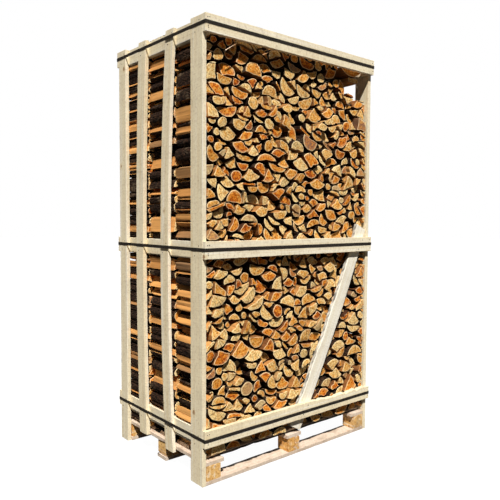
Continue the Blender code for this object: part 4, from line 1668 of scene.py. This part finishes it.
@dataclass
class LogStack:
    """Three rows of split logs, stacked with their ends to the long open sides.

    Attributes:
        half_width: Half the stack's width between the side rails.
        ledge_half: Half its width beside them.
        ledges: The side rails.
        floor: Height of the pallet's deck.
        row_length: Length of a row from front to back.
        chamfer: How far the rim of a log's end is broken.
        drawn_in: How far its ends are drawn in from its middle, which bears on its neighbours.
        forward: How far log ends beside the brace come past its inner face.
        forward_top: Height up to which they do.
        edge_spread: How unevenly they lie along the stack's sides and beside the brace.
        spread: How unevenly the log ends lie.
        deep_share: Share of the logs that lie further in and leave a dark hole.
        deep_by: The least and the most that they do.
        deep_set_in: How far the offcuts stand back from the left wall, where they are seen.
        flush_set_in: How far they do elsewhere.
        by_wall: How near a wall a log counts as lying along it.
        by_brace: How near the brace a log counts as lying beside it.
        open_face: How far from the middle the log ends may reach.
        splinter_face: How far from the middle a splinter's root may be.
        splinter_share: Share of the logs that have a splinter.
        splinters: The splinters of the row that is being built.
        slivers: The pale slivers under the top rail.
        top_course: Height past which a log belongs to the top course.
        top_spread: How unevenly the ends of the top course lie.
        rows: The three rows.
    """

    half_width: float = 0.5442
    ledge_half: float = 0.5242
    ledges: tuple[Ledge, ...] = (Ledge(0.1605, 0.2415), Ledge(1.0055, 1.0865), Ledge(1.9675, 2.0485))
    floor: float = 0.1250
    row_length: float = 0.2377
    chamfer: float = 0.0014
    drawn_in: float = 0.0042
    forward: float = 0.018
    forward_top: float = 1.75
    edge_spread: float = 0.005
    spread: float = 0.028
    deep_share: float = 0.13
    deep_by: Pair = (0.020, 0.050)
    deep_set_in: Pair = (0.018, 0.032)
    flush_set_in: Pair = (0.002, 0.006)
    by_wall: float = 0.040
    by_brace: float = 0.022
    open_face: float = 0.3768
    splinter_face: float = 0.372
    splinter_share: float = 0.55
    splinters: list[Spot] = field(default_factory=list)
    slivers: list[Spot] = field(default_factory=lambda: [
        Spot((-0.4458, -0.3772, 1.9189), (0.0771, -0.0123, 0.0520), (0.0026, 0.0018, 0.094)),
        Spot((-0.2275, -0.3780, 1.9405), (0.0600, -0.0095, 0.0305), (0.0034, 0.0020, 0.068)),
        Spot((-0.1880, -0.3780, 1.9424), (0.0206, -0.0035, 0.0140), (0.0022, 0.0014, 0.025)),
        Spot((-0.5390, -0.3780, 1.9027), (0.0500, 0.0, -0.0042), (0.0022, 0.0016, 0.052)),
        Spot((-0.0656, -0.3775, 1.8695), (0.0460, 0.0, -0.0400), (0.0020, 0.0014, 0.060))])
    top_course: float = 1.93
    top_spread: float = 0.010
    rows: tuple[RowPlan, ...] = (
        RowPlan("front", 5, -0.3569, 1, ((-0.544, 2.003), (0.318, 2.005), (0.332, 1.94), (0.395, 1.915),
                                         (0.405, 1.866), (0.544, 1.845)), 0.328),
        RowPlan("middle", 6, -0.1189, 0, ((-0.544, 1.998), (-0.2, 2.004), (0.1, 1.996), (0.544, 1.996))),
        RowPlan("back", 7, 0.1191, -1, ((-0.544, 1.996), (-0.26, 2.002), (0.05, 2.004), (0.544, 1.996))),
    )

    def build(self) -> None:
        """Make the three rows."""
        materials = [LogEndFinish().build(), SplitFaceFinish().build(), BarkFinish().build()]
        splinterer = Grower("splinters", SplinterFinish().build(), sides=4, tip=0.15)
        for row in self.rows:
            rng = np.random.default_rng(row.seed)
            stack = Skyline(self.half_width, self.ledge_half, self.floor, row.tops, self.ledges,
                            BilletMaker(rng), rng)
            stack.fill()
            draft = Draft()
            whole = len(stack.billets)
            stack.level(row.level_to)
            for side in (-1, 1):
                set_in = self.deep_set_in if row.face >= 0 and side < 0 else self.flush_set_in
                stack.flank(side, float(stack.ceiling[0 if side < 0 else -1]) - 0.010, set_in)
            for k, billet in enumerate(stack.billets):
                deep = k < whole and rng.uniform() < self.deep_share
                recess = rng.uniform(*self.deep_by) if deep else 0.0
                self.add_log(draft, billet, self.ends(billet, row, recess, rng), rng)
            log.info("%s row: %d logs and %d offcuts", row.name, whole, len(stack.billets) - whole)
            if row.name == "front":
                self.add_corner(draft, stack, row, rng)
            piece = draft.finish(f"logs_{row.name}_row_split", materials)
            spots = self.splinters + self.slivers if row.name == "front" else self.splinters
            self.splinters = []
            settle(splinterer.grow(piece, spots), "split_log", f"logs_{row.name}_row")

    def add_corner(self, draft: Draft, stack: Skyline, row: RowPlan, rng: Chance) -> None:
        """Add the half round and the slab that bridge a hole at the right of the front row's top.

        Args:
            draft: The row's draft.
            stack: Its stack, filled up to the hole.
            row: Its row.
            rng: Source of chance.
        """
        across = np.linspace(0.333, 0.521, 9)
        sag = 0.037 * (1 - ((across - 0.427) / 0.094) ** 2)
        flat = np.column_stack((across[::-1], np.full(9, 1.9855) + rng.normal(0, 0.0006, 9)))
        moon = np.vstack((np.column_stack((across, 1.9845 - sag)), flat))
        slab = np.array([(0.404, 1.919), (0.446, 1.917), (0.488, 1.920), (0.492, 1.932), (0.480, 1.944),
                         (0.430, 1.944), (0.402, 1.943), (0.398, 1.930)])
        for outline, pith, radius in ((moon, (0.427, 2.02), 0.13), (slab, (0.44, 1.90), 0.06)):
            billet = Billet(outline, np.zeros(len(outline), bool), np.array(pith), radius)
            self.add_log(draft, billet, (row.near + 0.004, row.near + self.row_length - 0.004), rng)
        stack.billets = []
        stack.reopen(((0.333, 1.0), (0.3335, 1.957), (0.396, 1.955), (0.397, 1.914), (0.495, 1.914),
                      (0.496, 1.950), (0.544, 1.955)))
        stack.fill()
        for billet in stack.billets:
            near = row.near + rng.uniform(0.055, 0.075)
            self.add_log(draft, billet, (near, row.near + self.row_length - 0.004), rng)

    def ends(self, billet: Billet, row: RowPlan, recess: float, rng: Chance) -> Pair:
        """Where a log's two ends lie.

        Args:
            billet: The log seen from its end, in its place.
            row: Its row.
            recess: How far it is pushed in from its open end.
            rng: Source of chance.

        Returns:
            Y of its near and far end.
        """
        near, far = row.near + 0.0006, row.near + self.row_length - 0.0006
        free = self.beside_brace(billet.outline, row.face) and billet.outline[:, 1].max() < self.forward_top
        out = self.forward if free else 0.0
        at_top = billet.outline[:, 1].max() > self.top_course
        at_edge = np.abs(billet.outline[:, 0]).max() > self.half_width - self.by_wall
        at_edge |= free and not self.beside_brace(billet.outline, row.face, self.by_brace)
        spread = self.top_spread if at_top else (self.edge_spread if at_edge else self.spread + recess)
        open_end = rng.beta(1.4, 2.2) * spread - out
        hidden_end = rng.uniform(0.0, 0.010)
        if row.face < 0:
            return near + hidden_end, far - open_end
        return near + (open_end if row.face else hidden_end), far - hidden_end

    @staticmethod
    def beside_brace(outline: Array, face: int, clear: float = 0.004) -> bool:
        """Whether a log end keeps clear of the brace on its side of the crate, by so many metres."""
        if not face:
            return False
        foot, slope = np.array(Crate.brace_foot), np.array(Crate.brace_slope) / np.hypot(*Crate.brace_slope)
        reach = outline * (face, 1.0) - foot
        along = reach @ slope
        bow = 4 * Crate.brace_bow * along * (Crate.brace_length - along) / Crate.brace_length ** 2
        across = reach @ np.array([-slope[1], slope[0]]) + np.maximum(bow, 0.0)
        return bool(along.min() > Crate.brace_length + clear or across.max() < -clear
                    or across.min() > Crate.brace_width + clear)

    def held(self, ring: Array) -> Array:
        """Keep a ring of points off the deck, the slats and the side rails."""
        beside = np.zeros(len(ring), bool)
        for ledge in self.ledges:
            beside |= (ring[:, 1] > ledge.low) & (ring[:, 1] < ledge.high)
        limit = np.where(beside, self.ledge_half, self.half_width) + 0.0002
        return np.column_stack((np.clip(ring[:, 0], -limit, limit),
                                np.maximum(ring[:, 1], self.floor - 0.0004)))

    def add_log(self, draft: Draft, billet: Billet, ends: Pair, rng: Chance) -> None:
        """Add one log to its row.

        Args:
            draft: The row's draft.
            billet: The log seen from its end, in its place.
            ends: Y of its near and far end.
            rng: Source of chance.
        """
        near, far = ends
        size = len(billet.outline)
        middle = billet.outline.mean(axis=0)
        inward = middle - billet.outline
        reach = np.linalg.norm(inward, axis=1)[:, None]
        taper = 0.16 * (far - near)
        stations = (near, near + self.chamfer, near + taper, (near + far) / 2, far - taper,
                    far - self.chamfer, far)
        rim = self.drawn_in + self.chamfer
        drawn = (rim, self.drawn_in, 0.0, 0.0, 0.0, self.drawn_in, rim)
        lean = rng.normal(0.0, 0.0009, 2)
        tilt = rng.normal(0.0, 0.055, (2, 2))
        points = []
        for k, (y, inset) in enumerate(zip(stations, drawn)):
            uneven = np.abs(rng.normal(0.0, 0.0007, (size, 1))) if 1 < k < 5 else 0.0
            ring = billet.outline + inward / reach * np.minimum(inset + uneven, reach * 0.3)
            ring = self.held(ring + lean * (k - 3) / 1.5)
            slope = tilt[0] if k < 2 else (tilt[1] if k > 4 else np.zeros(2))
            depth = np.clip(y + (ring - middle) @ slope, -self.open_face, self.open_face)
            points.append(np.column_stack((ring[:, 0], depth, ring[:, 1])))
        centres = np.array([[middle[0], near, middle[1]], [middle[0], far, middle[1]]])
        rings = len(stations)
        points_array = np.concatenate(points + [centres])
        faces, slots = [], []
        for k in range(rings - 1):
            at_end = k in (0, rings - 2)
            for a in range(size):
                b = (a + 1) % size
                faces.append((k * size + a, k * size + b, (k + 1) * size + b, (k + 1) * size + a))
                slots.append(0 if at_end else (2 if billet.bark[a] else 1))
        first, last, start = rings * size, rings * size + 1, (rings - 1) * size
        for a in range(size):
            b = (a + 1) % size
            faces += [(first, b, a), (last, start + a, start + b)]
            slots += [0, 0]
        tone = rng.beta(1.3, 1.5)
        grey = 0.8 * rng.uniform() if rng.uniform() < 0.10 else 0.0
        # The third look value runs from 0 at each end's centre to 1 at its rim; the end-grain finish paints a
        # highlight along the rim from it.
        edge = np.ones(len(points_array))
        edge[-2:] = 0.0
        look = np.column_stack((np.full(len(points_array), tone), np.full(len(points_array), grey), edge))
        pith = np.column_stack((points_array[:, 0] - billet.pith[0], points_array[:, 2] - billet.pith[1],
                                np.full(len(points_array), billet.radius)))
        draft.add(points_array, faces, slots, look=look, pith=pith)
        if rng.uniform() < self.splinter_share:
            self.splinters.append(self.splinter(points[1] if rng.uniform() < 0.5 else points[5], middle, rng))

    def splinter(self, ring: Array, middle: Array, rng: Chance) -> Spot:
        """A torn fibre that stands off the edge of a log's end.

        Args:
            ring: The ring of points by that end.
            middle: The log's middle, in x and z.
            rng: Source of chance.

        Returns:
            Where it sits.
        """
        root = ring[rng.integers(len(ring))]
        away = np.array([root[0] - middle[0], 0.0, root[2] - middle[1]])
        away /= np.linalg.norm(away)
        edge = np.array([-away[2], 0.0, away[0]]) * (1 if rng.uniform() < 0.5 else -1)
        along = edge + away * rng.uniform(-0.05, 0.35) + np.array([0.0, rng.uniform(-0.5, 0.5), 0.0])
        along /= np.linalg.norm(along)
        length = rng.uniform(0.010, 0.030)
        place = root - along * length * 0.15
        place[1] = np.clip(place[1], -self.splinter_face, self.splinter_face)
        size = (rng.uniform(0.0006, 0.0013), rng.uniform(0.0004, 0.0008), length)
        return Spot(tuple(place), tuple(along), size)


@dataclass
class Studio:
    """A pale floor, soft light from the front left, and the camera at the photograph's angle."""

    eye: Point = (-1.978, -2.3725, 1.191)
    yaw: float = 0.6999
    pitch: float = -0.0569
    roll: float = 0.0052
    lens: float = 40.79
    sun_from: Point = (-0.72, -1.0, 1.60)
    sun_strength: float = 5.6
    sun_spread: float = radians(2.0)
    back_from: Point = (0.6, 1.0, 0.8)
    back_strength: float = 1.3
    back_spread: float = radians(30.0)
    sky: float = 0.04
    floor_glow: float = 0.98
    floor_size: float = 60.0

    def build(self) -> None:
        """Make the floor, the lights and the camera."""
        self.make_floor()
        self.make_sky()
        self.make_sun("key", self.sun_from, self.sun_strength, self.sun_spread)
        self.make_sun("back_fill", self.back_from, self.back_strength, self.back_spread)
        self.make_camera()
        bpy.context.scene.view_settings.view_transform = "Standard"

    def make_floor(self) -> None:
        """Lay the plain pale floor just under the pallet."""
        half = self.floor_size / 2
        mesh = bpy.data.meshes.new("studio_floor")
        corners = [(-half, -half, 0.0), (half, -half, 0.0), (half, half, 0.0), (-half, half, 0.0)]
        mesh.from_pydata(corners, [], [(0, 1, 2, 3)])
        floor = bpy.data.objects.new("studio_floor", mesh)
        bpy.context.scene.collection.objects.link(floor)
        shade = Shade("studio_floor")
        seen = shade.node("LightPath").outputs["Is Camera Ray"]
        shade.shader.inputs["Emission Color"].default_value = (1.0, 1.0, 1.0, 1.0)
        shade.feed(shade.shader.inputs["Emission Strength"], shade.times(seen, self.floor_glow))
        mesh.materials.append(shade.finish((0.07, 0.065, 0.06, 1.0), 0.9, specular=0.0))

    def make_sky(self) -> None:
        """Light everything softly, and show white behind the object."""
        world = bpy.data.worlds.new("studio_sky")
        bpy.context.scene.world = world
        world.use_nodes = True
        nodes, links = world.node_tree.nodes, world.node_tree.links
        soft = nodes["Background"]
        soft.inputs["Color"].default_value = (1.0, 1.0, 1.0, 1.0)
        soft.inputs["Strength"].default_value = self.sky
        white = nodes.new("ShaderNodeBackground")
        white.inputs["Strength"].default_value = 1.0
        white.inputs["Color"].default_value = (1.0, 1.0, 1.0, 1.0)
        path = nodes.new("ShaderNodeLightPath")
        mixed = nodes.new("ShaderNodeMixShader")
        links.new(path.outputs["Is Camera Ray"], mixed.inputs[0])
        links.new(soft.outputs[0], mixed.inputs[1])
        links.new(white.outputs[0], mixed.inputs[2])
        links.new(mixed.outputs[0], nodes["World Output"].inputs["Surface"])

    @staticmethod
    def make_sun(name: str, source: Point, strength: float, spread: float) -> None:
        """Hang a distant light.

        Args:
            name: Its name.
            source: The way towards it.
            strength: Its strength.
            spread: The angle that it fills, in radians.
        """
        data = bpy.data.lights.new(name, "SUN")
        data.energy = strength
        data.angle = spread
        data.color = (1.0, 0.985, 0.955)
        sun = bpy.data.objects.new(name, data)
        sun.rotation_euler = Vector(source).to_track_quat("Z", "Y").to_euler()
        bpy.context.scene.collection.objects.link(sun)

    def make_camera(self) -> None:
        """Set the camera by its eye, yaw, pitch and roll."""
        ahead = Vector((sin(self.yaw) * cos(self.pitch), cos(self.yaw) * cos(self.pitch), sin(self.pitch)))
        right = ahead.cross(Vector((0, 0, 1))).normalized()
        up = right.cross(ahead)
        tilted_right = cos(self.roll) * right + sin(self.roll) * up
        tilted_up = -sin(self.roll) * right + cos(self.roll) * up
        data = bpy.data.cameras.new("photo_camera")
        data.lens = self.lens
        data.sensor_width = 36.0
        camera = bpy.data.objects.new("photo_camera", data)
        turn = Matrix((tilted_right, tilted_up, -ahead)).transposed().to_4x4()
        camera.matrix_world = Matrix.Translation(self.eye) @ turn
        bpy.context.scene.collection.objects.link(camera)
        bpy.context.scene.camera = camera


def main() -> None:
    """Build the pallet, the crate, the straps and the logs in order, then the studio."""
    logging.basicConfig(level=logging.INFO, format="%(name)s %(message)s")
    PalletBase().build()
    Crate().build()
    StrapSet().build()
    LogStack().build()
    Studio().build()


if __name__ == "__main__":
    main()
